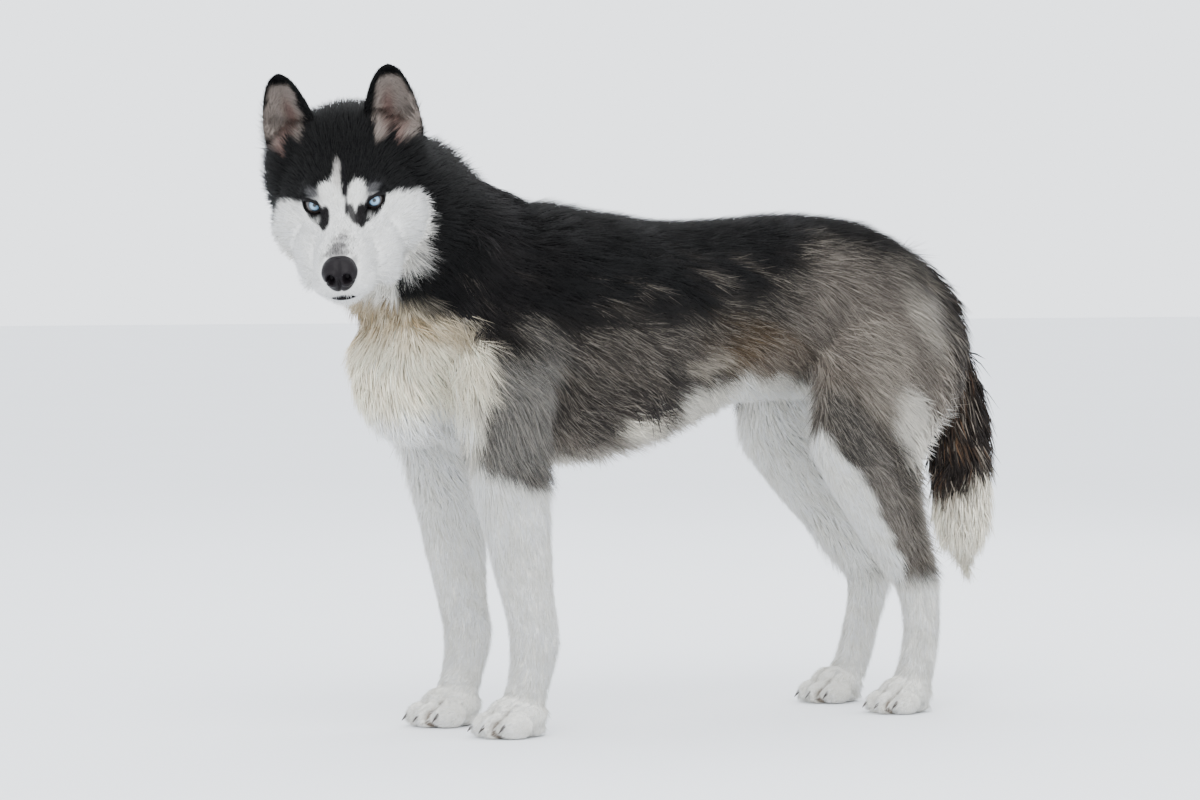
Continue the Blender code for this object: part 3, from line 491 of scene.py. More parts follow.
@dataclass(frozen=True)
class HeadShape:
    """The head: where it is, how it is turned, and its masses in its own axes (forward, left, up)."""

    eye_midpoint: Triple = (0.445, 0.06, 0.563)
    yaw: float = 56
    pitch: float = 25
    roll: float = 5
    eye_radius: float = 0.0112
    eye_spread: float = 0.0308
    eye_depth: float = 0.012
    eye_slant: float = 30
    eye_fall: float = 0.0024
    eye_outward: float = 9
    eye_drop: float = 3
    lid_radius: float = 0.0128
    opening: tuple[float, float] = (0.0124, 0.0071)
    nose_centre: Triple = (0.0975, 0, -0.0347)
    nose_size: Triple = (0.0135, 0.0189, 0.018)
    ear_half_width: float = 0.0335
    ear_wall: float = 0.003
    voxel: float = 0.0019
    seam: tuple[Triple, Triple] = ((0.372, -0.02, 0.565), (0.66, 0.66, 0.36))

    SKULL = [
        (0.098, 0.017, -0.021, -0.06),
        (0.088, 0.026, -0.0155, -0.072),
        (0.07, 0.03, -0.012, -0.077),
        (0.048, 0.033, -0.0085, -0.081),
        (0.026, 0.039, -0.003, -0.085),
        (0.006, 0.048, 0.01, -0.089),
        (-0.014, 0.06, 0.028, -0.093),
        (-0.04, 0.073, 0.049, -0.097),
        (-0.07, 0.082, 0.064, -0.099),
        (-0.1, 0.087, 0.068, -0.095),
        (-0.13, 0.083, 0.058, -0.084),
        (-0.158, 0.062, 0.03, -0.06),
    ]
    MASSES = [
        ((-0.088, 0.0, 0.024), (0.06, 0.066, 0.051)),
        ((0.05, 0.0, -0.0255), (0.05, 0.0175, 0.0185)),
        ((0.077, 0.0, -0.064), (0.017, 0.0155, 0.012)),
        ((-0.024, 0.03, 0.008), (0.024, 0.02, 0.016)),
        ((-0.088, 0.046, -0.008), (0.052, 0.048, 0.066)),
        ((-0.044, 0.045, -0.04), (0.052, 0.042, 0.05)),
        ((-0.004, 0.03, -0.052), (0.046, 0.03, 0.037)),
        ((0.06, 0.0165, -0.052), (0.037, 0.0165, 0.019)),
    ]
    # Soft moves of the surface: centre, radius and the move there, on both sides when off the middle
    STROKES = [
        ((0.012, 0.036, 0.002), 0.022, (-0.005, -0.002, -0.001)),
        ((0.034, 0.034, -0.02), 0.026, (0, -0.004, 0)),
        ((-0.004, 0.02, 0.034), 0.022, (0.001, 0, 0.001)),
        ((-0.025, 0.06, 0.02), 0.03, (0, -0.004, 0)),
        ((0.01, 0.0, 0.016), 0.022, (-0.0035, 0, -0.0015)),
        ((-0.045, 0.0, 0.06), 0.024, (0.0, 0, -0.0025)),
        ((0.016, 0.019, -0.004), 0.013, (-0.002, -0.001, -0.0015)),
        ((0.086, 0.0, -0.056), 0.01, (-0.0022, 0, 0)),
        ((0.07, 0.026, -0.058), 0.02, (0.0, 0.0016, -0.001)),
        ((-0.04, 0.082, -0.072), 0.048, (0.003, -0.0105, 0.005)),
        ((0.03, 0.036, -0.086), 0.036, (0.0, 0.0075, -0.004)),
    ]
    EARS = {
        1: Ear((-0.094, 0.048, 0.03), (-0.08, 0.0545, 0.119), 12),
        -1: Ear((-0.094, -0.054, 0.028), (-0.08, -0.06, 0.118), -16),
    }

    def frame(self) -> Matrix:
        """The head's axes in the body's."""
        turn = spin(self.yaw, "Z") @ spin(self.pitch, "Y")
        return Matrix.Translation(self.eye_midpoint) @ turn @ spin(self.roll, "X")

    def eye_frame(self, side: int) -> Matrix:
        """An eye's axes in the head's: forward out of the socket, turned by the slant of the lids.

        Args:
            side: 1 for left, -1 for right.

        Returns:
            The matrix.
        """
        place = Matrix.Translation((-self.eye_depth, side * self.eye_spread, -self.eye_fall))
        turn = spin(side * self.eye_outward, "Z") @ spin(self.eye_drop, "Y")
        return place @ turn @ spin(side * self.eye_slant, "X")

    def pieces(self) -> list[Piece]:
        """The overlapping masses of the head, in its own axes."""
        sections = []
        for a, half_width, top, bottom in fill_in(self.SKULL):
            middle = (top + bottom) / 2
            sections.append(oval((a, 0, middle), LEFT, UP, half_width, top - middle, middle - bottom))
        made = [skinned("skull", sections)]
        for centre, radii in self.MASSES:
            for way in SIDES if centre[1] else (1,):
                made.append(ball("mass", (centre[0], way * centre[1], centre[2]), radii))
        return made

    def ear_axes(self, side: int) -> tuple[Array, Array, Array, float]:
        """The axes of an ear.

        Args:
            side: 1 for left, -1 for right.

        Returns:
            Its ways up, across and to the front, and its length.
        """
        ear = self.EARS[side]
        up = Vector(ear.tip) - Vector(ear.base)
        length = up.length
        up.normalize()
        front = Matrix.Rotation(math.radians(ear.outward), 3, "Z") @ AHEAD
        across = up.cross(front).normalized()
        return np.array(up), np.array(across), np.array(across.cross(up)), length


@dataclass(frozen=True)
class BodyShape:
    """Trunk, neck, legs and tail, as tables of sections."""

    voxel: float = 0.0048
    paw_voxel: float = 0.0017
    paw_top: float = 0.048
    hindpaw_scale: float = 0.93
    tail_core: float = 0.55
    toe_height: float = 0.0128

    TRUNK = [
        (-0.35, 0.022, 0.468, 0.4),
        (-0.335, 0.05, 0.492, 0.375),
        (-0.29, 0.082, 0.526, 0.355),
        (-0.23, 0.097, 0.553, 0.348),
        (-0.15, 0.094, 0.56, 0.35),
        (-0.06, 0.094, 0.555, 0.343),
        (0.03, 0.104, 0.553, 0.309),
        (0.12, 0.11, 0.564, 0.287),
        (0.2, 0.108, 0.574, 0.287),
        (0.27, 0.096, 0.552, 0.3),
        (0.325, 0.08, 0.51, 0.322),
        (0.362, 0.05, 0.47, 0.362),
    ]
    NECK = [
        (0.2, 0.0, 0.435, 0.096, 0.125),
        (0.3, -0.004, 0.505, 0.092, 0.108),
        (0.352, -0.01, 0.56, 0.086, 0.092),
        (0.392, -0.008, 0.6, 0.072, 0.075),
    ]
    FORELEG = [
        (0.5, 0.212, 0.064, 0.04, 0.02),
        (0.44, 0.245, 0.078, 0.06, 0.032),
        (0.385, 0.266, 0.083, 0.064, 0.038),
        (0.33, 0.266, 0.083, 0.058, 0.038),
        (0.276, 0.258, 0.081, 0.048, 0.034),
        (0.235, 0.249, 0.078, 0.043, 0.031),
        (0.185, 0.239, 0.075, 0.037, 0.028),
        (0.14, 0.228, 0.072, 0.031, 0.0255),
        (0.1, 0.22, 0.07, 0.0285, 0.0255),
        (0.06, 0.226, 0.07, 0.0245, 0.0225),
        (0.03, 0.236, 0.07, 0.025, 0.024),
    ]
    HINDLEG = [
        (0.49, -0.252, 0.052, 0.07, 0.028),
        (0.43, -0.243, 0.07, 0.096, 0.038),
        (0.37, -0.226, 0.08, 0.096, 0.042),
        (0.31, -0.199, 0.086, 0.073, 0.038),
        (0.265, -0.207, 0.084, 0.061, 0.033),
        (0.22, -0.23, 0.081, 0.051, 0.028),
        (0.17, -0.259, 0.077, 0.037, 0.023),
        (0.14, -0.278, 0.075, 0.0285, 0.0205),
        (0.095, -0.285, 0.073, 0.0235, 0.019),
        (0.055, -0.28, 0.072, 0.023, 0.02),
        (0.03, -0.27, 0.072, 0.024, 0.023),
    ]
    FORELEG_BACK = [(0.13, 0.0), (0.2, 0.009), (0.27, 0.014), (0.5, 0.014)]
    HINDLEG_BACK = [(0.0, 0.007), (0.09, 0.02), (0.15, 0.042), (0.22, 0.034), (0.42, 0.0)]
    TOES = [(0.012, 0.0245), (0.0265, 0.0102), (0.0265, -0.0102), (0.012, -0.0245)]
    TOE_RADII = (0.02, 0.0112, 0.015)
    PAW_MASSES = [((-0.004, 0, 0.024), (0.034, 0.029, 0.023)), ((-0.012, 0, 0.009), (0.024, 0.023, 0.013))]
    TAIL = [
        (-0.296, 0.0, 0.505, 0.018),
        (-0.339, 0.004, 0.455, 0.026),
        (-0.366, 0.01, 0.385, 0.033),
        (-0.378, 0.014, 0.31, 0.039),
        (-0.382, 0.016, 0.24, 0.037),
        (-0.385, 0.016, 0.19, 0.024),
        (-0.388, 0.016, 0.158, 0.006),
    ]

    def set_back(self, side: int, is_hind: bool, z: float) -> float:
        """How far back a leg stands from where its table puts it.

        Args:
            side: 1 on the left, where nothing is set back, -1 on the right.
            is_hind: Whether it is a hind leg.
            z: The height.

        Returns:
            The distance.
        """
        if side > 0:
            return 0.0
        rows = self.HINDLEG_BACK if is_hind else self.FORELEG_BACK
        return float(np.interp(z, [row[0] for row in rows], [row[1] for row in rows]))

    def trunk(self) -> Piece:
        """Chest, loin and rump."""
        sections = []
        for x, half_width, top, bottom in fill_in(self.TRUNK):
            widest = bottom + 0.56 * (top - bottom)
            sections.append(oval((x, 0, widest), LEFT, UP, half_width, top - widest, widest - bottom))
        return skinned("trunk", sections)

    def neck(self) -> Piece:
        """The neck, from between the shoulders to the skull."""
        rows = fill_in(self.NECK)
        sections = []
        for i, (x, y, z, half_width, half_depth) in enumerate(rows):
            ahead = ahead_at(rows, i)
            side = UP.cross(ahead).normalized()
            up = ahead.cross(side).normalized()
            sections.append(oval((x, y, z), side, up, half_width, half_depth, half_depth))
        return skinned("neck", sections)

    def leg(self, side: int, is_hind: bool, below: float = 1.0) -> Piece:
        """One leg.

        Args:
            side: 1 for left, -1 for right.
            is_hind: Whether it is a hind leg.
            below: Only the sections below this height are used.

        Returns:
            The piece.
        """
        sections = []
        for z, x, y, half_length, half_width in fill_in(self.HINDLEG if is_hind else self.FORELEG, 3):
            if z < below:
                centre = (x - self.set_back(side, is_hind, z), y * side, z)
                sections.append(oval(centre, LEFT, AHEAD, half_width, half_length, half_length, 2.1))
        return skinned("leg", sections)

    def tail(self) -> Piece:
        """The tail's core, full at its root and thin under the brush."""
        rows = fill_in(self.TAIL, 3)
        sections = []
        for i, (x, y, z, radius) in enumerate(rows):
            up = ahead_at(rows, i).cross(LEFT).normalized()
            radius *= float(np.interp(z, [0.4, 0.452], [self.tail_core, 1.0]))
            sections.append(oval((x, y, z), LEFT, up, radius, radius, radius, 2, 20))
        return skinned("tail", sections)

    def paw_place(self, side: int, is_hind: bool) -> tuple[Vector, float]:
        """Where a paw stands.

        Args:
            side: 1 for left, -1 for right.
            is_hind: Whether it is a hind paw.

        Returns:
            Its middle on the floor, and its scale.
        """
        row = (self.HINDLEG if is_hind else self.FORELEG)[-1]
        ahead = (0.01 if is_hind else 0.009) - self.set_back(side, is_hind, 0.0)
        return Vector((row[1] + ahead, side * row[2], 0)), self.hindpaw_scale if is_hind else 1.0

    def paw(self, side: int, is_hind: bool) -> Piece:
        """A foot with four toes and its pads, as overlapping masses fused to one form.

        Args:
            side: 1 for left, -1 for right.
            is_hind: Whether it is a hind paw.

        Returns:
            The piece, open at the top.
        """
        centre, scale = self.paw_place(side, is_hind)
        pieces = [self.leg(side, is_hind, 0.075)]
        toes = [((*toe, self.toe_height), self.TOE_RADII) for toe in self.TOES]
        for place, radii in self.PAW_MASSES + toes:
            spot = centre + Vector(place) * scale
            pieces.append(ball("toe", tuple(spot), tuple(radius * scale for radius in radii), 24, 14))
        paw = remeshed(joined("paw", pieces), self.paw_voxel, 3)
        points = corners_of(paw)
        for first, second in zip(self.TOES, self.TOES[1:]):
            own = (points - np.array(centre)) / scale
            across = np.abs(own[:, 1] - (first[1] + second[1]) / 2)
            sunk = ramp(0.005, 0.0, across) ** 2 * ramp(-0.002, 0.02, own[:, 0])
            sunk = sunk * ramp(0.004, 0.012, own[:, 2])
            points += sunk[:, None] * np.array((-0.005, 0, -0.0046)) * scale
        # The sole stands flat on the floor.
        points[:, 2] = np.maximum(points[:, 2], 0.0)
        set_corners(paw, points)
        return bisected(paw, Vector((0, 0, self.paw_top + 0.004)), UP)


HEAD = HeadShape()
SHAPE = BodyShape()
TO_BODY = HEAD.frame()
TO_HEAD = TO_BODY.inverted()


# Lie of the coat


@dataclass(frozen=True)
class Guide:
    """How the hair grows at one place: its way, length, lift, the coat's depth, tuft width and density."""

    place: Triple
    lie: Triple
    length: float
    lift: float
    depth: float
    width: float
    density: float


# Places on the left and the middle of the body, in the body's axes. Lengths, depths and widths are in
# millimetres, the lift is in degrees and the density in tufts to a square centimetre.
BODY_GUIDES = [Guide(*row) for row in (
    ((0.2, 0.05, 0.57), (-1, 0.25, -0.1), 36, 13, 11, 1.7, 25),
    ((0.0, 0.045, 0.553), (-1, 0.25, -0.1), 32, 11, 9, 1.6, 26),
    ((-0.2, 0.045, 0.553), (-1, 0.3, -0.3), 31, 11, 9, 1.6, 26),
    ((-0.32, 0.04, 0.48), (-0.35, 0.3, -1), 34, 13, 10, 1.7, 24),
    ((0.16, 0.108, 0.46), (-0.9, 0, -0.48), 35, 12, 10, 1.7, 25),
    ((0.03, 0.102, 0.43), (-0.9, 0, -0.42), 34, 11, 9, 1.6, 26),
    ((-0.06, 0.092, 0.46), (-0.9, 0, -0.4), 33, 11, 9, 1.6, 26),
    ((0.1, 0.09, 0.345), (-0.9, 0, -0.45), 38, 14, 10, 1.7, 23),
    ((0.08, 0.03, 0.3), (-0.9, 0, -0.4), 36, 22, 10, 1.7, 21),
    ((-0.04, 0.07, 0.375), (-0.75, 0, -0.65), 30, 16, 8, 1.6, 24),
    ((-0.15, 0.11, 0.36), (-0.5, 0, -0.9), 26, 12, 7, 1.5, 27),
    ((-0.22, 0.112, 0.4), (-0.62, 0, -0.8), 29, 12, 8, 1.6, 26),
    ((-0.3, 0.095, 0.36), (-0.62, 0.1, -0.85), 44, 21, 13, 1.8, 21),
    ((-0.265, 0.1, 0.29), (-0.8, 0.0, -0.7), 42, 19, 10, 1.7, 23),
    ((-0.19, 0.095, 0.48), (-0.85, 0, -0.52), 30, 11, 8, 1.6, 26),
    ((-0.16, 0.11, 0.26), (-0.55, 0, -0.9), 16, 11, 4, 1.25, 35),
    ((-0.215, 0.108, 0.22), (-0.5, 0, -0.9), 15, 11, 4, 1.25, 35),
    ((-0.275, 0.085, 0.2), (-0.65, 0, -0.9), 29, 23, 6, 1.4, 30),
    ((-0.285, 0.09, 0.12), (-0.08, 0, -1.0), 13, 12, 3.2, 1.1, 40),
    ((-0.28, 0.085, 0.07), (0.08, 0, -1.0), 14, 13, 2.6, 1.1, 42),
    ((-0.24, 0.07, 0.03), (0.8, 0, -0.45), 7, 13, 1.6, 0.9, 56),
    ((0.25, 0.105, 0.43), (-0.7, 0, -0.75), 33, 12, 10, 1.7, 25),
    ((0.262, 0.118, 0.34), (-0.3, 0, -1.0), 22, 12, 6, 1.45, 28),
    ((0.212, 0.095, 0.295), (-0.65, 0, -0.8), 28, 24, 8, 1.5, 27),
    ((0.245, 0.108, 0.24), (-0.12, 0, -1.0), 14, 11, 4, 1.2, 35),
    ((0.235, 0.1, 0.16), (-0.05, 0, -1.0), 12, 11, 3.2, 1.1, 40),
    ((0.22, 0.095, 0.08), (0.08, 0, -1.0), 14, 13, 2.6, 1.1, 42),
    ((0.26, 0.07, 0.03), (0.85, 0, -0.35), 7, 13, 1.6, 0.9, 56),
    ((0.385, 0.03, 0.38), (-0.05, 0.15, -1.0), 42, 18, 15, 1.9, 21),
    ((0.345, 0.045, 0.32), (-0.35, 0.05, -0.95), 38, 18, 13, 1.8, 21),
    ((0.33, 0.085, 0.37), (-0.3, 0.1, -1.0), 36, 16, 12, 1.7, 23),
    ((0.385, 0.025, 0.44), (0.05, 0.2, -1.0), 38, 18, 14, 1.8, 22),
    ((0.33, 0.09, 0.47), (-0.5, 0.1, -0.9), 44, 17, 15, 1.9, 21),
    ((0.3, 0.09, 0.54), (-0.85, 0.05, -0.6), 42, 16, 15, 1.9, 21),
    ((0.33, 0.03, 0.635), (-0.95, 0, -0.5), 38, 16, 14, 1.8, 22),
    ((0.26, 0.045, 0.59), (-1, 0.1, -0.25), 40, 15, 14, 1.8, 22),
    ((-0.335, 0.01, 0.46), (-0.3, 0, -1.0), 42, 17, 6, 1.9, 24),
    ((-0.37, 0.012, 0.35), (-0.08, 0, -1.0), 52, 20, 0, 2.0, 28),
    ((-0.38, 0.016, 0.24), (-0.05, 0, -1.0), 50, 18, 0, 2.0, 30),
    ((-0.386, 0.016, 0.175), (-0.05, 0, -1.0), 26, 12, 0, 1.8, 34),
)]
# Places on the left and the middle of the head, in the head's axes
HEAD_GUIDES = [Guide(*row) for row in (
    ((0.078, 0.0, -0.012), (-1, 0, 0.1), 5.0, 12, 1.0, 0.75, 80),
    ((0.045, 0.0, -0.006), (-1, 0, 0.15), 6.5, 12, 1.2, 0.85, 68),
    ((0.082, 0.022, -0.045), (-1, 0.35, -0.15), 6.5, 13, 1.2, 0.8, 74),
    ((0.05, 0.032, -0.045), (-1, 0.25, -0.2), 8.5, 12, 1.6, 0.9, 62),
    ((0.082, 0.0, -0.075), (-1, 0, -0.3), 10, 17, 1.6, 0.9, 62),
    ((0.04, 0.028, -0.08), (-1, 0.15, -0.25), 13, 15, 2.4, 1.05, 54),
    ((0.02, 0.042, -0.03), (-0.9, 0.35, -0.25), 9.5, 11, 2.0, 0.95, 58),
    ((0.014, 0.014, 0.004), (-0.8, 0.1, 0.5), 7.5, 12, 1.6, 0.85, 68),
    ((-0.022, 0.0, 0.035), (-0.85, 0, 0.5), 10, 13, 2.6, 1.0, 54),
    ((-0.008, 0.026, 0.02), (-0.6, 0.45, 0.6), 9, 15, 2.2, 0.95, 60),
    ((-0.022, 0.058, 0.002), (-0.85, 0.45, 0.05), 11, 13, 2.6, 1.05, 54),
    ((-0.07, 0.0, 0.066), (-1, 0, 0.1), 18, 16, 5, 1.35, 34),
    ((-0.125, 0.0, 0.058), (-0.95, 0, -0.4), 30, 17, 9, 1.6, 27),
    ((-0.06, 0.072, 0.025), (-0.95, 0.25, 0.05), 20, 18, 6, 1.4, 32),
    ((-0.11, 0.078, 0.0), (-0.9, 0.2, -0.4), 30, 19, 10, 1.7, 25),
    ((-0.025, 0.07, -0.04), (-0.85, 0.35, -0.4), 13, 12, 4, 1.15, 44),
    ((-0.05, 0.088, -0.045), (-0.85, 0.2, -0.55), 18, 15, 8, 1.35, 34),
    ((-0.02, 0.07, -0.085), (-0.7, 0.25, -0.8), 20, 16, 8, 1.35, 34),
    ((0.01, 0.03, -0.095), (-0.95, 0.15, -0.4), 20, 17, 5, 1.3, 36),
    ((-0.05, 0.03, -0.125), (-0.6, 0.1, -0.85), 34, 18, 12, 1.7, 25),
)]


class Lie:
    """The guides of the whole coat, and what they say between them."""

    def __init__(self) -> None:
        """Mirrors the guides to the right and puts all of them in the body's axes."""
        places, ways, values = [], [], []
        turn = np.array(TO_BODY)[:3, :3]
        for guides, is_head in ((BODY_GUIDES, False), (HEAD_GUIDES, True)):
            for guide in guides:
                for side in SIDES:
                    mirror = np.array((1, side, 1))
                    place, way = np.array(guide.place) * mirror, np.array(guide.lie) * mirror
                    if is_head:
                        place, way = turned(place[None], TO_BODY)[0], turn @ way
                    places.append(place)
                    ways.append(way)
                    values.append((guide.length, guide.lift, guide.depth, guide.width, guide.density))
        self.places = np.array(places)
        self.ways = unit(np.array(ways))
        self.values = np.array(values)

    def at(self, points: Array) -> tuple[Array, Array]:
        """The way of the hair and the guides' values, nearer guides counting more.

        Args:
            points: Where, in the body's axes.

        Returns:
            Unit vectors, and length, lift, depth, width and density in the guides' units.
        """
        ways, values = np.empty((len(points), 3)), np.empty((len(points), 5))
        for start in range(0, len(points), 20_000):
            block = points[start : start + 20_000]
            distance = np.linalg.norm(block[:, None] - self.places[None], axis=2)
            weight = 1 / (distance + 0.012) ** 4
            weight /= weight.sum(axis=1, keepdims=True)
            ways[start : start + 20_000] = weight @ self.ways
            values[start : start + 20_000] = weight @ self.values
        return unit(ways), values


# Markings


@dataclass(frozen=True)
class Patch:
    """A soft-edged patch of colour round a line: where d, the distance over its radii, is under 1."""

    start: Triple
    end: Triple
    radii: Triple
    colour: str
    strength: float = 1.0
    soft: float = 0.3
    wobble: float = 0.25
    mirrored: bool = True

    def cover(self, points: Array, noise: Array) -> Array:
        """How much of the patch's colour each point takes.

        Args:
            points: Places in the patch's own axes.
            noise: Values between -1 and 1 that fray the edge.

        Returns:
            Shares between 0 and 1.
        """
        spots = points.copy()
        if self.mirrored:
            spots[:, 1] = np.abs(spots[:, 1])
        radii = np.array(self.radii)
        start, way = np.array(self.start) / radii, (np.array(self.end) - np.array(self.start)) / radii
        offset = spots / radii - start
        along = np.clip(offset @ way / max(float(way @ way), 1e-9), 0, 1)
        distance = np.linalg.norm(offset - along[:, None] * way, axis=1) + noise * self.wobble
        return self.strength * (1 - ramp(1 - self.soft, 1 + self.soft, distance))


BLACK_HAIR = "#08080a"
BODY_PATCHES = [Patch(*row) for row in (
    # Grey-brown over hip and thigh, the tan flank, and the dark fringe of the belly
    ((-0.18, 0.1, 0.46), (-0.25, 0.1, 0.38), (0.095, 0.08, 0.07), "#7c736a", 0.9, 0.45),
    ((-0.03, 0.09, 0.418), (-0.075, 0.09, 0.396), (0.05, 0.05, 0.03), "#685338", 0.9, 0.5),
    ((-0.09, 0.1, 0.385), (-0.13, 0.11, 0.36), (0.045, 0.05, 0.035), "#7f7469", 0.85, 0.5),
    ((0.14, 0.1, 0.405), (0.03, 0.1, 0.42), (0.06, 0.05, 0.022), "#564f49", 0.6, 0.6),
    ((0.23, 0.1, 0.42), (0.21, 0.1, 0.4), (0.018, 0.05, 0.02), "#84807a", 0.6, 0.7, 0.5),
    ((0.19, 0.1, 0.33), (0.1, 0.09, 0.35), (0.05, 0.05, 0.03), "#2f2a27", 0.85, 0.5),
    ((0.055, 0.09, 0.352), (0.02, 0.09, 0.372), (0.035, 0.05, 0.014), "#2b2725", 0.85, 0.45),
    ((0.018, 0.09, 0.386), (-0.005, 0.09, 0.395), (0.02, 0.03, 0.01), "#b3a999", 0.75, 0.5),
    ((0.092, 0.06, 0.323), (0.066, 0.05, 0.322), (0.022, 0.06, 0.017), "#d9d2c2", 1, 0.35),
    ((0.2, 0.0, 0.285), (-0.08, 0.0, 0.33), (0.06, 0.046, 0.022), "#cfc9bd", 0.95, 0.5),
    ((0.012, 0.06, 0.345), (-0.1, 0.07, 0.352), (0.028, 0.08, 0.024), "#dcd7cb", 0.95, 0.35),
    ((-0.1, 0.0, 0.34), (-0.22, 0.0, 0.34), (0.06, 0.062, 0.06), "#dfdbd1", 0.95, 0.3),
    # Dark outer line of the thigh, and the pale hair behind it
    ((-0.15, 0.12, 0.345), (-0.195, 0.115, 0.275), (0.02, 0.05, 0.022), "#5a5651", 0.9, 0.5),
    ((-0.2, 0.115, 0.27), (-0.25, 0.1, 0.185), (0.017, 0.05, 0.018), "#7d766e", 0.9, 0.6),
    ((-0.262, 0.098, 0.47), (-0.28, 0.095, 0.42), (0.016, 0.03, 0.028), "#b5ada0", 0.8, 0.6),
    ((-0.2, 0.115, 0.42), (-0.215, 0.115, 0.35), (0.028, 0.03, 0.03), "#aea496", 0.6, 0.7, 0.6),
    ((-0.29, 0.1, 0.475), (-0.305, 0.095, 0.44), (0.016, 0.03, 0.022), "#b9b3aa", 0.7, 0.6, 0.6),
    ((-0.24, 0.105, 0.33), (-0.29, 0.095, 0.285), (0.026, 0.03, 0.028), "#d6d0c4", 0.9, 0.5, 0.5),
    ((-0.285, 0.095, 0.25), (-0.3, 0.09, 0.19), (0.024, 0.04, 0.034), "#b5aea2", 0.85, 0.5),
)]
HEAD_PATCHES = [Patch(*row) for row in (
    # Brow spots, the blaze, and the black line beside it
    ((0.001, 0.015, 0.0115), (-0.001, 0.0165, 0.0145), (0.015, 0.0098, 0.0115), "#edece7", 1, 0.2, 0.2),
    ((0.004, -0.005, 0.01), (-0.01, -0.0058, 0.022), (0.01, 0.0048, 0.009), "#edece7", 1, 0.3, 0.3, False),
    ((-0.012, -0.005, 0.022), (-0.022, -0.004, 0.031), (0.009, 0.0036, 0.008),
     "#b9b5b0", 0.8, 0.5, 0.5, False),
    ((-0.022, 0.003, 0.034), (-0.003, 0.0036, 0.015), (0.006, 0.0022, 0.006), "#111012", 1, 0.35, 0.2, False),
    ((-0.003, 0.0036, 0.015), (0.02, 0.005, 0.0), (0.005, 0.0021, 0.005), "#232123", 0.95, 0.4, 0.25, False),
    # Dark hair from the inner corners of the eyes down beside the bridge
    ((0.01, 0.019, -0.003), (0.027, 0.018, -0.011), (0.008, 0.0056, 0.0062), "#1a1819", 1, 0.3, 0.2),
    ((0.016, 0.008, 0.002), (0.026, 0.0135, -0.006), (0.008, 0.0046, 0.006),
     "#252324", 0.95, 0.35, 0.2, False),
    # Smudged grey hair above the nose
    ((0.094, 0.0, -0.016), (0.08, 0.0, -0.012), (0.008, 0.012, 0.01), "#3a3637", 0.7, 0.8, 1.6),
    ((0.08, 0.001, -0.012), (0.066, 0.002, -0.01), (0.01, 0.0085, 0.008), "#5d5859", 0.5, 0.9, 1.6, False),
    ((0.06, 0.003, -0.01), (0.048, 0.004, -0.008), (0.01, 0.006, 0.008), "#8d898a", 0.5, 0.8, 1.0, False),
)]
# Dark hairs are strewn here among the white ones, thickest at the nose.
DARK_SPECK = "#1b191a"
SMUDGE = Patch(
    (0.098, 0.0, -0.016), (0.068, 0.003, -0.01), (0.009, 0.0125, 0.01), DARK_SPECK, 0.8, 0.8, 0, False
)


class Layers:
    """A colour for each point, with others laid over it."""

    def __init__(self, colour: Array) -> None:
        """Starts from a ground colour."""
        self.colour = colour

    def lay(self, paint: str | Array, share: Array) -> None:
        """Lays a colour over what is there.

        Args:
            paint: A hex colour, or linear ones.
            share: How much of it each point takes, between 0 and 1.
        """
        paint = linear(paint) if isinstance(paint, str) else paint
        self.colour = self.colour * (1 - share[:, None]) + paint * share[:, None]


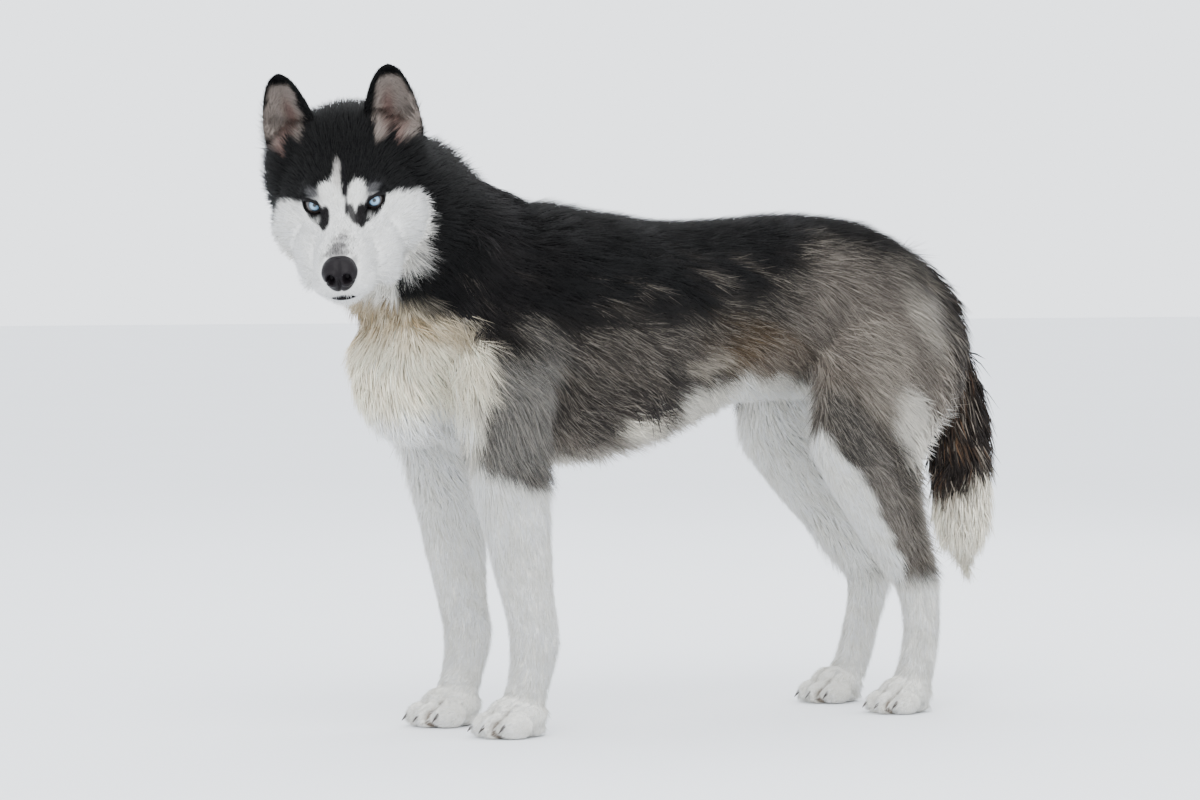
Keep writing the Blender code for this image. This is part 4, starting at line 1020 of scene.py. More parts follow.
class Markings:
    """The colours of hair and skin by place, the same for both."""

    # How low the black saddle comes along the body, and where the shin's white ends at each height
    SADDLE_AT = [-0.34, -0.25, -0.18, -0.12, -0.05, 0.05, 0.16, 0.24]
    SADDLE_EDGE = [0.466, 0.505, 0.503, 0.473, 0.448, 0.432, 0.422, 0.41]
    SHIN_HEIGHT = [0.1, 0.172, 0.241, 0.292, 0.325, 0.35, 0.38]
    SHIN_AT = [-0.262, -0.244, -0.201, -0.156, -0.136, -0.112, -0.06]

    def __init__(self) -> None:
        """Makes the noises that fray edges and streak the coat."""
        self.noise = [Noise(SEED + i) for i in range(4)]

    def colours(self, points: Array, normals: Array, heads: Array) -> tuple[Array, Array]:
        """The coat's colour, and how much single tufts stray from it.

        Args:
            points: Places in the body's axes.
            normals: The skin's normals there.
            heads: True where a point belongs to the head or its ears.

        Returns:
            Linear colours, and the strength of grizzling between 0 and 1.
        """
        body, grizzle = self.body_colours(points)
        own = turned(points, TO_HEAD)
        head = self.head_colours(own, normals @ np.array(TO_HEAD)[:3, :3].T)
        # The face's own colours reach back to the neck, and fade out there.
        share = heads * ramp(-0.15, -0.115, own[:, 0]) * ramp(-0.15, -0.112, own[:, 2] + 0.25 * own[:, 0])
        share = share[:, None]
        return body * (1 - share) + head * share, grizzle * (1 - share[:, 0])

    def body_colours(self, points: Array) -> tuple[Array, Array]:
        """Colours of trunk, neck, legs and tail.

        Args:
            points: Places in the body's axes.

        Returns:
            Linear colours, and the strength of grizzling between 0 and 1.
        """
        x, y, z = points.T
        wide = np.abs(y)
        # Streaks run down and back, with the hair.
        along = unit(np.array((-0.9, 0.0, -0.43)))
        drawn = points - 0.76 * np.outer(points @ along, along)
        coarse, fine = self.noise[0].at(points, 0.045), self.noise[1].at(drawn, 0.008)
        frayed = 0.6 * coarse + 0.5 * fine
        coat = Layers(np.tile(linear("#181614"), (len(points), 1)))
        lay = coat.lay
        lay("#655d54", ramp(-0.75, 0.85, fine + 0.45 * coarse))
        for patch in BODY_PATCHES:
            lay(patch.colour, patch.cover(points, frayed))
        # The black saddle: how far down the flank it reaches at each place along the body
        edge = np.interp(x, self.SADDLE_AT, self.SADDLE_EDGE)
        saddle = ramp(-0.046, 0.044, z - edge + 0.04 * frayed)
        lay(BLACK_HAIR, 0.97 * saddle)
        lay("#4a443d", saddle * ramp(0.25, 0.9, fine) * ramp(0.54, 0.48, z + 0.2 * np.maximum(x, 0)) * 0.6)
        lay("#1c1a1a", ramp(0.2, 0.28, x + 0.02 * frayed) * ramp(0.385, 0.425, z + 0.02 * frayed) * 0.95)
        lay("#4b453f", ramp(0.2, 0.26, x) * ramp(0.2, 0.8, fine + 0.3 * coarse) * ramp(0.53, 0.47, z) * 0.3)
        side_edge = 0.44 - 0.8 * (wide - 0.052)
        neck = ramp(0.3, 0.33, x) * ramp(0, 0.022, z - side_edge + 0.01 * frayed)
        lay(BLACK_HAIR, neck * ramp(0.028, 0.05, wide + 0.006 * frayed + 0.4 * np.maximum(z - 0.5, 0)))
        # Grey shoulder and the outside of the upper foreleg. The right leg stands a little further back.
        fore = x + np.where(y < 0, 0.05, 0.0)
        hem = np.interp(fore, [0.225, 0.25, 0.29, 0.31], [0.262, 0.26, 0.276, 0.3])
        outer = ramp(0.06, 0.085, wide) * ramp(-0.008, 0.008, z - hem + 0.01 * frayed)
        leg = outer * ramp(0.412, 0.38, z) * ramp(0.31, 0.296, fore + 0.006 * frayed) * ramp(0.205, 0.225, x)
        lay("#83807a", leg * 0.92)
        shaded = ramp(0.295, 0.27, z) * 0.7 + ramp(0.282, 0.298, fore) * 0.5 + 0.25 * fine
        lay("#4a4845", leg * np.clip(shaded, 0, 1))
        # Cream bib and throat, with a tan ring under the jaw
        hem_at = np.interp(z, [0.3, 0.335, 0.365, 0.4], [0.292, 0.294, 0.281, 0.276])
        front = ramp(0.0, 0.016, x - hem_at + 0.006 * frayed)
        front = front * ramp(0.012, -0.01, z - side_edge + 0.008 * frayed)
        middle = ramp(0.3, 0.34, x) * ramp(0.056, 0.034, wide + 0.006 * frayed) * ramp(0.53, 0.49, z)
        bib = np.maximum(front, middle)
        lay("#eee4cc", bib)
        lay("#ac9570", bib * ramp(0.4, 0.425, z + 0.01 * frayed) * np.clip(0.66 + 0.6 * fine, 0, 1))
        lay("#f4efe2", bib * ramp(0.36, 0.32, z))
        # White legs, with the inside of each leg white up to the belly
        low = ramp(0.008, -0.008, z - hem + 0.01 * frayed) * ramp(0.02, 0.06, x) * ramp(0.31, 0.29, z)
        low = np.maximum(low, (y < 0) * ramp(0.245, 0.262, x) * ramp(0.345, 0.32, z))
        lay("#f8f5ec", np.maximum(low, ramp(0.2, 0.21, x) * ramp(0.075, 0.055, wide) * ramp(0.36, 0.33, z)))
        back = np.interp(z, [row[0] for row in SHAPE.HINDLEG_BACK], [row[1] for row in SHAPE.HINDLEG_BACK])
        hind = x + np.where(y < 0, back + 0.02, 0.0)
        shin = np.interp(z, self.SHIN_HEIGHT, self.SHIN_AT)
        before = ramp(-0.004, 0.008, hind - shin + 0.008 * frayed) * ramp(-0.03, -0.05, x)
        before = before * ramp(0.392, 0.365, z)
        rear = ramp(-0.02, -0.06, x)
        inside = ramp(0.088, 0.066, wide) * ramp(0.385, 0.34, z) * rear * ramp(-0.33, -0.3, x)
        foot = ramp(0.165, 0.13, z + 0.012 * frayed) * rear
        lay("#f5f2e9", np.maximum(np.maximum(before, inside), foot))
        # Painted shade: the gaps between the toes are darkened with brown.
        lay("#5a4838", self.toe_gaps(points) * 0.9)
        # Tail: black-brown from the rump down to a slanting edge, cream below it
        root = ramp(-0.286, -0.31, x + 0.012 * frayed) * ramp(0.118, 0.088, wide)
        lay("#1e1a19", root * ramp(0.335, 0.375, z + 0.01 * frayed) * 0.9)
        on_tail = ramp(-0.318, -0.338, x) * ramp(0.06, 0.045, wide)
        lay("#211c1a", on_tail * ramp(0.455, 0.43, z) * 0.95)
        lay("#6a523f", on_tail * ramp(-0.1, 0.6, fine) * ramp(0.46, 0.38, z) * 0.75)
        tip = on_tail * ramp(0.01, -0.012, z - (0.23 + 0.87 * (-0.345 - x)) + 0.01 * frayed)
        lay("#ece4d1", tip)
        light = coat.colour.mean(axis=1)
        grizzle = ramp(0.012, 0.03, light) * ramp(0.5, 0.3, light)
        return coat.colour * (1 + 0.12 * fine[:, None]), grizzle

    def toe_gaps(self, points: Array) -> Array:
        """Finds the gaps between the toes, which are painted dark as shade.

        Args:
            points: Places in the body's axes.

        Returns:
            How far each lies in a gap, from 0 to 1.
        """
        share = np.zeros(len(points))
        for side in SIDES:
            for is_hind in (False, True):
                centre, scale = SHAPE.paw_place(side, is_hind)
                own = (points - np.array(centre)) / scale
                for first, second in zip(SHAPE.TOES, SHAPE.TOES[1:]):
                    across = np.abs(own[:, 1] - (first[1] + second[1]) / 2)
                    ahead = ramp(0.008, 0.02, own[:, 0]) * (own[:, 0] < 0.06)
                    gap = ramp(0.0024, 0.0008, across) * ahead * ramp(0.034, 0.026, own[:, 2])
                    share = np.maximum(share, gap)
        return share

    def head_colours(self, points: Array, normals: Array) -> Array:
        """Colours of the head and ears.

        Args:
            points: Places in the head's axes.
            normals: The skin's normals there, in the same axes.

        Returns:
            Linear colours.
        """
        a, b, c = points.T
        wide = np.abs(b)
        coarse, fine = self.noise[2].at(points, 0.02), self.noise[3].at(points, 0.006)
        frayed = 0.5 * coarse + 0.5 * fine
        coat = Layers(linear(BLACK_HAIR) * (1.0 + 0.5 * np.clip(coarse, 0, 1) + 0.25 * fine)[:, None])
        lay = coat.lay
        # The white mask: under a line from the eyes back, and before a line down the cheek
        top = 0.004 + 0.41 * (a + 0.01)
        mask = ramp(-0.0035, 0.0035, top - c + 0.003 * frayed)
        rear = a + 0.72 * c + 0.067 + 0.012 * ramp(-0.062, -0.088, c) - 0.01 * ramp(-0.035, -0.01, c)
        rear -= (b < 0) * (0.01 * ramp(-0.075, -0.055, c) + 0.008 * ramp(-0.055, -0.04, c))
        cheek = ramp(-0.005, 0.005, rear + 0.006 * frayed)
        jaw = ramp(-0.124, -0.115, c + 0.003 * frayed) * ramp(-0.032, -0.022, a) * ramp(0.048, 0.038, b)
        mask = np.maximum(mask * cheek, jaw * ramp(-0.04, -0.06, c))
        lay("#f5f4f0", mask)
        lay("#ddd8cc", mask * ramp(0.022, -0.002, rear) * ramp(-0.02, -0.06, c) * 0.8)
        # The cream of the throat runs up to the jaw in the middle and on the right.
        throat = ramp(0.05, 0.034, b + 0.004 * frayed) * ramp(-0.08, -0.092, c + 0.25 * a)
        lay("#cfc4ae", throat * ramp(0.075, 0.06, wide) * ramp(0.4, 0.0, mask))
        for patch in HEAD_PATCHES:
            lay(patch.colour, patch.cover(points, frayed))
        for side in SIDES:
            eye = turned(points, HEAD.eye_frame(side).inverted())
            # Dark lids, drawn out to a point at the outer corner
            outer, high = side * eye[:, 1], eye[:, 2]
            reach = np.abs(outer / 0.0178) ** 1.4 + np.abs((high - 0.0008) / 0.0092) ** 1.2 + 0.08 * frayed
            near = ramp(-0.004, 0.004, eye[:, 0])
            lay("#161516", near * ramp(1.18, 0.92, reach))
            streak = ramp(0.0034, 0.0014, np.abs(high - 0.0015 - 0.1 * (outer - 0.012)) + 0.0006 * frayed)
            lay("#1d1c1d", near * streak * ramp(0.01, 0.013, outer) * ramp(0.026, 0.019, outer))
            # A greyer brow over each eye
            brow = np.hypot((outer - 0.003) / 0.018, (high - 0.013) / 0.008)
            lay("#8e8d8e", near * 0.35 * ramp(1.0, 0.2, brow))
        self.ear_colours(points, normals, coat, frayed)
        return coat.colour

    def ear_colours(self, points: Array, normals: Array, coat: Layers, frayed: Array) -> None:
        """Lays the ears' pale, rosy-centred cups over the black.

        Args:
            points: Places in the head's axes.
            normals: The skin's normals there, in the same axes.
            coat: The colours so far.
            frayed: Values between -1 and 1 that fray the edges.
        """
        for side in SIDES:
            up, across, front, length = HEAD.ear_axes(side)
            spots = points - np.array(HEAD.EARS[side].base)
            high, wide, deep = spots @ up / length, spots @ across, spots @ front
            half = HEAD.ear_half_width * np.clip(1 - np.clip(high, 0, 1) ** 1.5, 0.001, 1) ** 0.5
            # The rim is black, broader on the side of the brow, and so is the foot of the cup.
            inner = side * wide * np.sign(np.array(LEFT) @ across) < 0
            across_half = np.abs(wide) / half
            spread = across_half + 0.07 * frayed + np.where(inner, 0.17, -0.1 * ramp(0.62, 0.48, high))
            inside = ramp(-0.03, -0.022, deep + 0.008 * across_half**2) * ramp(0.92, 0.78, spread)
            foot = np.where(inner, 0.24, 0.12) + 0.04 * frayed
            inside = inside * ramp(0.84, 0.76, high + 0.02 * frayed) * ramp(-0.05, 0.05, high - foot)
            facing = normals @ front + 0.4 * (np.abs(wide) < 0.5 * half)
            inside = inside * (np.abs(wide) < 0.04) * (high < 1.1) * ramp(0.0, 0.15, facing)
            cup = Layers(linear("#978c84") * (1 - 0.25 * frayed[:, None]))
            rosy = ramp(0.55, 0.1, np.abs(wide / half + 0.05)) * ramp(0.75, 0.35, high)
            cup.lay("#785a53", 0.75 * rosy)
            coat.lay(cup.colour, inside)


# Finishes


def node(
    tree: bpy.types.NodeTree, kind: str, links: dict[str | int, object] | None = None, **settings: object
) -> bpy.types.Node:
    """Adds a node with its settings and links.

    Args:
        tree: The material's node tree.
        kind: The node's type.
        links: For each input, a value or the socket that feeds it.
        settings: The node's own settings.

    Returns:
        The node.
    """
    made = tree.nodes.new(kind)
    for key, value in settings.items():
        setattr(made, key, value)
    for name, value in (links or {}).items():
        if isinstance(value, bpy.types.NodeSocket):
            tree.links.new(value, made.inputs[name])
        else:
            made.inputs[name].default_value = value
    return made


@dataclass(frozen=True)
class Finish:
    """What every finish says of its surface."""

    name: str
    roughness: float
    ior: float = 1.5

    def started(
        self, levels: dict[str, float] | None = None
    ) -> tuple[bpy.types.Material, bpy.types.NodeTree, bpy.types.Node]:
        """Starts the material, with its constants on the shader's own sockets.

        Args:
            levels: Further constants by the socket's name.

        Returns:
            The material, its node tree and its shader.
        """
        material = bpy.data.materials.new(self.name)
        material.use_nodes = True
        tree = material.node_tree
        shader = tree.nodes["Principled BSDF"]
        for name, value in {"Roughness": self.roughness, "IOR": self.ior, **(levels or {})}.items():
            shader.inputs[name].default_value = value
        return material, tree, shader


@dataclass(frozen=True)
class HairFinish(Finish):
    """Guard hair is keratin, IOR 1.55: a soft gloss along each tuft, with a faint sheen from fine ends."""

    sheen: float = 0.01
    gloss: float = 0.07

    def material(self) -> bpy.types.Material:
        """Hair that takes its markings from the coat's colour attribute."""
        levels = {"Sheen Weight": self.sheen, "Sheen Roughness": 0.5, "Specular IOR Level": self.gloss}
        material, tree, shader = self.started(levels)
        paint = node(tree, "ShaderNodeAttribute", attribute_name=COLOUR)
        tree.links.new(paint.outputs["Color"], shader.inputs["Base Color"])
        return material


@dataclass(frozen=True)
class HideFinish(Finish):
    """Skin under the coat, covered by down: matt, and broken up by the hairs of the undercoat."""

    # Down hairs stand about 1.1 mm apart, drawn a few times coarser than the real ones so that they show.
    down: float = 900.0
    gloss: float = 0.07

    def material(self) -> bpy.types.Material:
        """Skin with the coat's markings and a fine relief of short hair."""
        material, tree, shader = self.started({"Specular IOR Level": self.gloss})
        place = node(tree, "ShaderNodeTexCoord").outputs["Object"]
        paint = node(tree, "ShaderNodeAttribute", attribute_name=COLOUR)
        hairs = {"Vector": place, "Scale": self.down, "Detail": 3.0}
        down = node(tree, "ShaderNodeTexNoise", hairs).outputs["Fac"]
        shade = node(tree, "ShaderNodeMapRange", {"Value": down, "To Min": 0.6, "To Max": 1.1})
        mixed = node(tree, "ShaderNodeVectorMath", {0: paint.outputs["Color"]}, operation="SCALE")
        tree.links.new(shade.outputs["Result"], mixed.inputs["Scale"])
        tree.links.new(mixed.outputs["Vector"], shader.inputs["Base Color"])
        relief = node(tree, "ShaderNodeBump", {"Height": down, "Strength": 0.5, "Distance": 0.0006})
        tree.links.new(relief.outputs["Normal"], shader.inputs["Normal"])
        return material


@dataclass(frozen=True)
class LeatherFinish(Finish):
    """Nose leather and lips: dark moist skin with a wet gloss, pebbled about every 0.9 mm."""

    colour: str = "#0c090b"
    grain: float = 1100.0
    mottle: float = 220.0
    wet: float = 0.03
    gloss: float = 0.1

    def material(self) -> bpy.types.Material:
        """Pebbled dark skin."""
        levels = {"Specular IOR Level": self.gloss, "Coat Weight": self.wet, "Coat Roughness": 0.25}
        material, tree, shader = self.started(levels)
        place = node(tree, "ShaderNodeTexCoord").outputs["Object"]
        pebbles = {"Vector": place, "Scale": self.grain}
        cells = node(tree, "ShaderNodeTexVoronoi", pebbles, feature="DISTANCE_TO_EDGE").outputs["Distance"]
        mottle = node(tree, "ShaderNodeTexNoise", {"Vector": place, "Scale": self.mottle, "Detail": 2.0})
        dark = linear(self.colour)
        shades = {0: mottle.outputs["Fac"], 6: (*dark, 1), 7: (*(dark * 2.2), 1)}
        tint = node(tree, "ShaderNodeMix", shades, data_type="RGBA")
        tree.links.new(tint.outputs[2], shader.inputs["Base Color"])
        relief = node(tree, "ShaderNodeBump", {"Height": cells, "Strength": 0.55, "Distance": 0.0005})
        tree.links.new(relief.outputs["Normal"], shader.inputs["Normal"])
        return material


@dataclass(frozen=True)
class HornFinish(Finish):
    """Claws are horn: dark, smooth, with streaks along their growth."""

    dark: str = "#171312"
    pale: str = "#3d332c"
    # Streaks 17 mm long, about 1.4 mm wide and 3 mm high
    streaks: Triple = (60.0, 700.0, 300.0)

    def material(self) -> bpy.types.Material:
        """Streaked dark horn."""
        material, tree, shader = self.started()
        place = node(tree, "ShaderNodeTexCoord").outputs["Object"]
        drawn = node(tree, "ShaderNodeMapping", {"Vector": place, "Scale": self.streaks}).outputs["Vector"]
        streak = node(tree, "ShaderNodeTexNoise", {"Vector": drawn, "Scale": 1.0, "Detail": 2.0})
        shades = {0: streak.outputs["Fac"], 6: (*linear(self.dark), 1), 7: (*linear(self.pale), 1)}
        tint = node(tree, "ShaderNodeMix", shades, data_type="RGBA")
        tree.links.new(tint.outputs[2], shader.inputs["Base Color"])
        return material


@dataclass(frozen=True)
class EyeFinish(Finish):
    """An eye as a glass-clear cornea over a painted iris: colour from the eye's own attribute, wet gloss."""

    def material(self) -> bpy.types.Material:
        """A moist eyeball."""
        tears = {"Coat Weight": 1.0, "Coat Roughness": 0.02, "Coat IOR": 1.376}
        material, tree, shader = self.started(tears)
        paint = node(tree, "ShaderNodeAttribute", attribute_name=COLOUR)
        tree.links.new(paint.outputs["Color"], shader.inputs["Base Color"])
        return material


@dataclass(frozen=True)
class FloorFinish(Finish):
    """A plain pale studio floor, matt paint."""

    colour: str = "#e9ebee"

    def material(self) -> bpy.types.Material:
        """Matt pale paint with a barely seen unevenness."""
        material, tree, shader = self.started()
        place = node(tree, "ShaderNodeTexCoord").outputs["Object"]
        patchy = node(tree, "ShaderNodeTexNoise", {"Vector": place, "Scale": 1.5})
        pale = linear(self.colour)
        shades = {0: patchy.outputs["Fac"], 6: (*pale, 1), 7: (*(pale * 0.97), 1)}
        tint = node(tree, "ShaderNodeMix", shades, data_type="RGBA")
        tree.links.new(tint.outputs[2], shader.inputs["Base Color"])
        return material


# Guard hair: scaly keratin spreads the light, so black stays deep and white stays soft.
HAIR = HairFinish("guard_hair", 0.62, 1.55)
# Hide under down: matt and finely broken, so that the gaps between tufts read as shade and not as skin.
HIDE = HideFinish("downy_hide", 0.9)
# Nose leather: pebbled and moist, so near black with broad soft lights.
NOSE_LEATHER = LeatherFinish("nose_leather", 0.42)
# Lid leather: the same skin, finer and drier, which rings the eye in plain black.
LID_LEATHER = LeatherFinish("lid_leather", 0.6, colour="#060506", grain=1800.0, wet=0.0, gloss=0.12)
# Claw horn: grown in layers and worn smooth, dark with faint streaks.
HORN = HornFinish("claw_horn", 0.38, 1.54)
# Eye: a film of tears gives it one small sharp light.
EYE = EyeFinish("moist_eye", 0.3, 1.38)
# Floor paint: rolled and matt, which shows only soft shadows.
FLOOR = FloorFinish("floor_paint", 0.85)


def paint_corners(obj: Piece, colours: Array) -> None:
    """Stores one linear colour for each vertex of a mesh."""
    layer = obj.data.color_attributes.new(COLOUR, "FLOAT_COLOR", "POINT")
    values = np.ones((len(colours), 4), np.float32)
    values[:, :3] = np.clip(colours, 0, 1)
    layer.data.foreach_set("color", values.ravel())


def dressed(
    obj: Piece, material: bpy.types.Material, shift: Vector, replaces: list[str]
) -> Piece:
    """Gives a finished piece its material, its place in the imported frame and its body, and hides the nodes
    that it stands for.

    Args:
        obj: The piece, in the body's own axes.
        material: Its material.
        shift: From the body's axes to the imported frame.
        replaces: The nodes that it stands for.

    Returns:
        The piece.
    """
    obj.data.transform(Matrix.Translation(shift))
    obj.data.materials.clear()
    obj.data.materials.append(material)
    only(obj)
    bpy.ops.object.shade_smooth()
    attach(obj, BODY)
    if replaces:
        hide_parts(*replaces)
    LOG.info("%s: %d faces", obj.name, len(obj.data.polygons))
    return obj


# Skin


@dataclass
class Skin:
    """One skin over the whole animal, sunk by the coat's depth, with its unwrap."""

    lie: Lie
    # How many of its triangles each shell keeps, in the order of the shells
    kept: tuple[float, ...] = (0.8, 0.72, 0.4, 0.42)

    def sunk(self, obj: Piece, share: float | Array = 1.0) -> Piece:
        """Moves a surface in by the coat's depth.

        Args:
            obj: The piece.
            share: How much of the depth it moves by.

        Returns:
            The piece.
        """
        points, normals = corners_of(obj), corners_of(obj, "normal")
        depth = self.lie.at(points)[1][:, 2] / 1000
        set_corners(obj, points - normals * depth[:, None] * share)
        return obj

    def body(self) -> Piece:
        """Trunk, neck, legs and tail, open where head and feet join on."""
        pieces = [SHAPE.trunk(), SHAPE.neck(), ball("breast", (0.33, 0, 0.402), (0.066, 0.08, 0.09))]
        for side in SIDES:
            pieces.append(ball("buttock", (-0.3, side * 0.05, 0.405), (0.048, 0.04, 0.075)))
            pieces += [SHAPE.leg(side, False), SHAPE.leg(side, True)]
        rough = HEAD.pieces()
        for piece in rough:
            piece.data.transform(TO_BODY)
        body = self.sunk(remeshed(joined("body_skin", pieces + rough), SHAPE.voxel, 4))
        tail = SHAPE.tail()
        body = remeshed(joined("body_skin", [body, tail]), SHAPE.voxel, 2)
        place, way = HEAD.seam
        bisected(body, Vector(place) + Vector(way).normalized() * 0.006, Vector(way))
        return bisected(body, Vector((0, 0, SHAPE.paw_top)), -UP)

    def head(self) -> Piece:
        """The head with its lids, sockets and mouth, finer than the body."""
        stub = SHAPE.neck()
        stub.data.transform(TO_HEAD)
        head = remeshed(joined("head_skin", HEAD.pieces() + [stub]), HEAD.voxel, 12)
        points = corners_of(head)
        for centre, radius, move in HEAD.STROKES:
            for side in SIDES if centre[1] else (1,):
                mirror = np.array((1, side, 1))
                distance = np.linalg.norm(points - np.array(centre) * mirror, axis=1) / radius
                points += (np.clip(1 - distance**2, 0, 1) ** 2)[:, None] * np.array(move) * mirror
        set_corners(head, points)
        head.data.transform(TO_BODY)
        self.sunk(head)
        modified(head, "SMOOTH", factor=0.5, iterations=2)
        head.data.transform(TO_HEAD)
        self.cut_mouth(head)
        for side in SIDES:
            frame = HEAD.eye_frame(side)
            centre = tuple(frame.translation)
            cut(head, ball("lid", centre, (HEAD.lid_radius,) * 3), "UNION")
            cut(head, ball("socket", centre, (HEAD.eye_radius + 0.0002,) * 3), "DIFFERENCE")
            cut(head, self.opening(frame), "DIFFERENCE")
        head.data.transform(TO_BODY)
        place, way = HEAD.seam
        return bisected(head, Vector(place) - Vector(way).normalized() * 0.004, -Vector(way))

    def opening(self, frame: Matrix) -> Piece:
        """The prism that parts the lids.

        Args:
            frame: The eye's axes in the head's.

        Returns:
            The piece, in the head's axes.
        """
        half_length, half_height = HEAD.opening
        angles = 2 * np.pi * np.arange(32) / 32
        sections = []
        for depth, grow in ((0.002, 0.8), (0.03, 1.25)):
            across, rise = grow * half_length * np.cos(angles), grow * half_height * pointed(angles)
            sections.append(turned(np.stack([np.full(32, depth), across, rise], axis=1), frame))
        return skinned("opening", sections)

    def cut_mouth(self, head: Piece) -> None:
        """Sinks a groove along the lips into the head, in the head's axes."""
        cut(head, skinned("mouth", tube_sections(self.mouth_line(head), 0.0013, 8)), "DIFFERENCE")

    def mouth_line(self, head: Piece) -> Array:
        """Points along the lips, from one corner of the mouth round the front to the other.

        Args:
            head: The head's skin, in the head's axes.

        Returns:
            The points in order, on the skin.
        """
        surface = surface_of(head)
        points = []
        for i in range(-12, 13):
            along = abs(i) / 12
            a = 0.0985 - 0.07 * along**1.6
            height = -0.059 - 0.004 * math.sin(math.pi * along) + 0.005 * along**3
            outside = Vector((a + 0.02, math.copysign(0.06 * min(1, 2.2 * along), i), height))
            if i == 0:
                outside = Vector((0.15, 0, height))
            way = (Vector((a - 0.02, 0, height)) - outside).normalized()
            hit, _, _, _ = surface.ray_cast(outside, way)
            if hit:
                points.append(tuple(hit))
        return np.array(points)

    def ear(self, side: int) -> Piece:
        """One ear with its open cup, its root inside the head.

        Args:
            side: 1 for left, -1 for right.

        Returns:
            The piece.
        """
        up, across, front, length = HEAD.ear_axes(side)
        base = np.array(HEAD.EARS[side].base)
        forms = []
        for is_cup in (False, True):
            start, end = (-0.02, 0.94) if is_cup else (-0.3, 1.0)
            sections = []
            for i in range(25):
                t = start + (end - start) * math.sin(math.pi / 2 * i / 24) ** 1.1
                above = max(t, 0.0)
                half_width = HEAD.ear_half_width * (1 - above**1.5) ** 0.5 * (1 + min(t, 0.0))
                depth = 0.02 * (1 - above**1.7) ** 0.7
                centre = base + up * (length * t) + front * (0.003 * math.sin(math.pi * above))
                if is_cup:
                    opened = min(1.0, 0.12 + max(0.0, t - start) / 0.34) ** 0.7
                    centre = centre + front * (0.02 * (1 - opened))
                    half_width = max((half_width - HEAD.ear_wall) * opened, 0.0008)
                    drop = max(depth - HEAD.ear_wall, 0.0005) * opened
                    sections.append(oval(centre, across, front, half_width, depth + 0.03, drop, 2, 40))
                else:
                    half_width, depth = max(half_width, 0.0022), max(depth, 0.0014)
                    sections.append(oval(centre, across, front, half_width, depth * 0.5, depth, 2, 40))
            forms.append(skinned("ear", sections))
        ear = cut(forms[0], forms[1], "DIFFERENCE")
        remeshed(ear, 0.0013, 2)
        ear.data.transform(TO_BODY)
        return ear

    def build(self) -> tuple[Piece, list[int]]:
        """Builds all shells and joins them.

        Returns:
            The skin, and the number of vertices of each shell.
        """
        body, head = self.body(), self.head()
        ears = [self.ear(side) for side in SIDES]
        paws = [SHAPE.paw(side, is_hind) for side in SIDES for is_hind in (False, True)]
        for paw in paws:
            height = corners_of(paw)[:, 2]
            self.sunk(paw, 0.5 + 0.9 * ramp(0.026, 0.044, height)[:, None])
        shells = [body, head, joined("ears", ears), joined("paws", paws)]
        for shell, share in zip(shells, self.kept):
            modified(shell, "DECIMATE", ratio=share)
            modified(shell, "TRIANGULATE")
            LOG.info("shell of %d triangles", len(shell.data.polygons))
        counts = [len(shell.data.vertices) for shell in shells]
        skin = joined("skin", shells)
        LOG.info("skin of %d triangles", len(skin.data.polygons))
        edited(skin, bpy.ops.uv.smart_project, angle_limit=math.radians(66), island_margin=0.002)
        skin.data.uv_layers[0].name = BAKE_MAP
        return skin, counts


def tube_sections(line: Array, radius: float | Array, sides: int) -> list[Array]:
    """Round sections along a line of points.

    Args:
        line: The points.
        radius: The tube's radius, or one for each point.
        sides: Points round each section.

    Returns:
        The sections.
    """
    sections = []
    for i, (place, half) in enumerate(zip(line, np.broadcast_to(radius, len(line)))):
        ahead = Vector(line[min(i + 1, len(line) - 1)] - line[max(i - 1, 0)]).normalized()
        side = ahead.cross(UP).normalized()
        sections.append(oval(place, side, side.cross(ahead), half, half, half, 2, sides))
    return sections


# Coat


@dataclass
class Tufts:
    """Tufts of hair as rows of arrays: where each is rooted, on which shell, and how it grows."""

    points: Array
    normals: Array
    patches: Array
    shells: Array
    ways: Array | None = None
    length: Array | None = None
    lift: Array | None = None
    width: Array | None = None
    colours: Array | None = None

    def some(self, rows: Array) -> Tufts:
        """The tufts of these rows alone."""
        return Tufts(*(None if values is None else values[rows] for values in vars(self).values()))


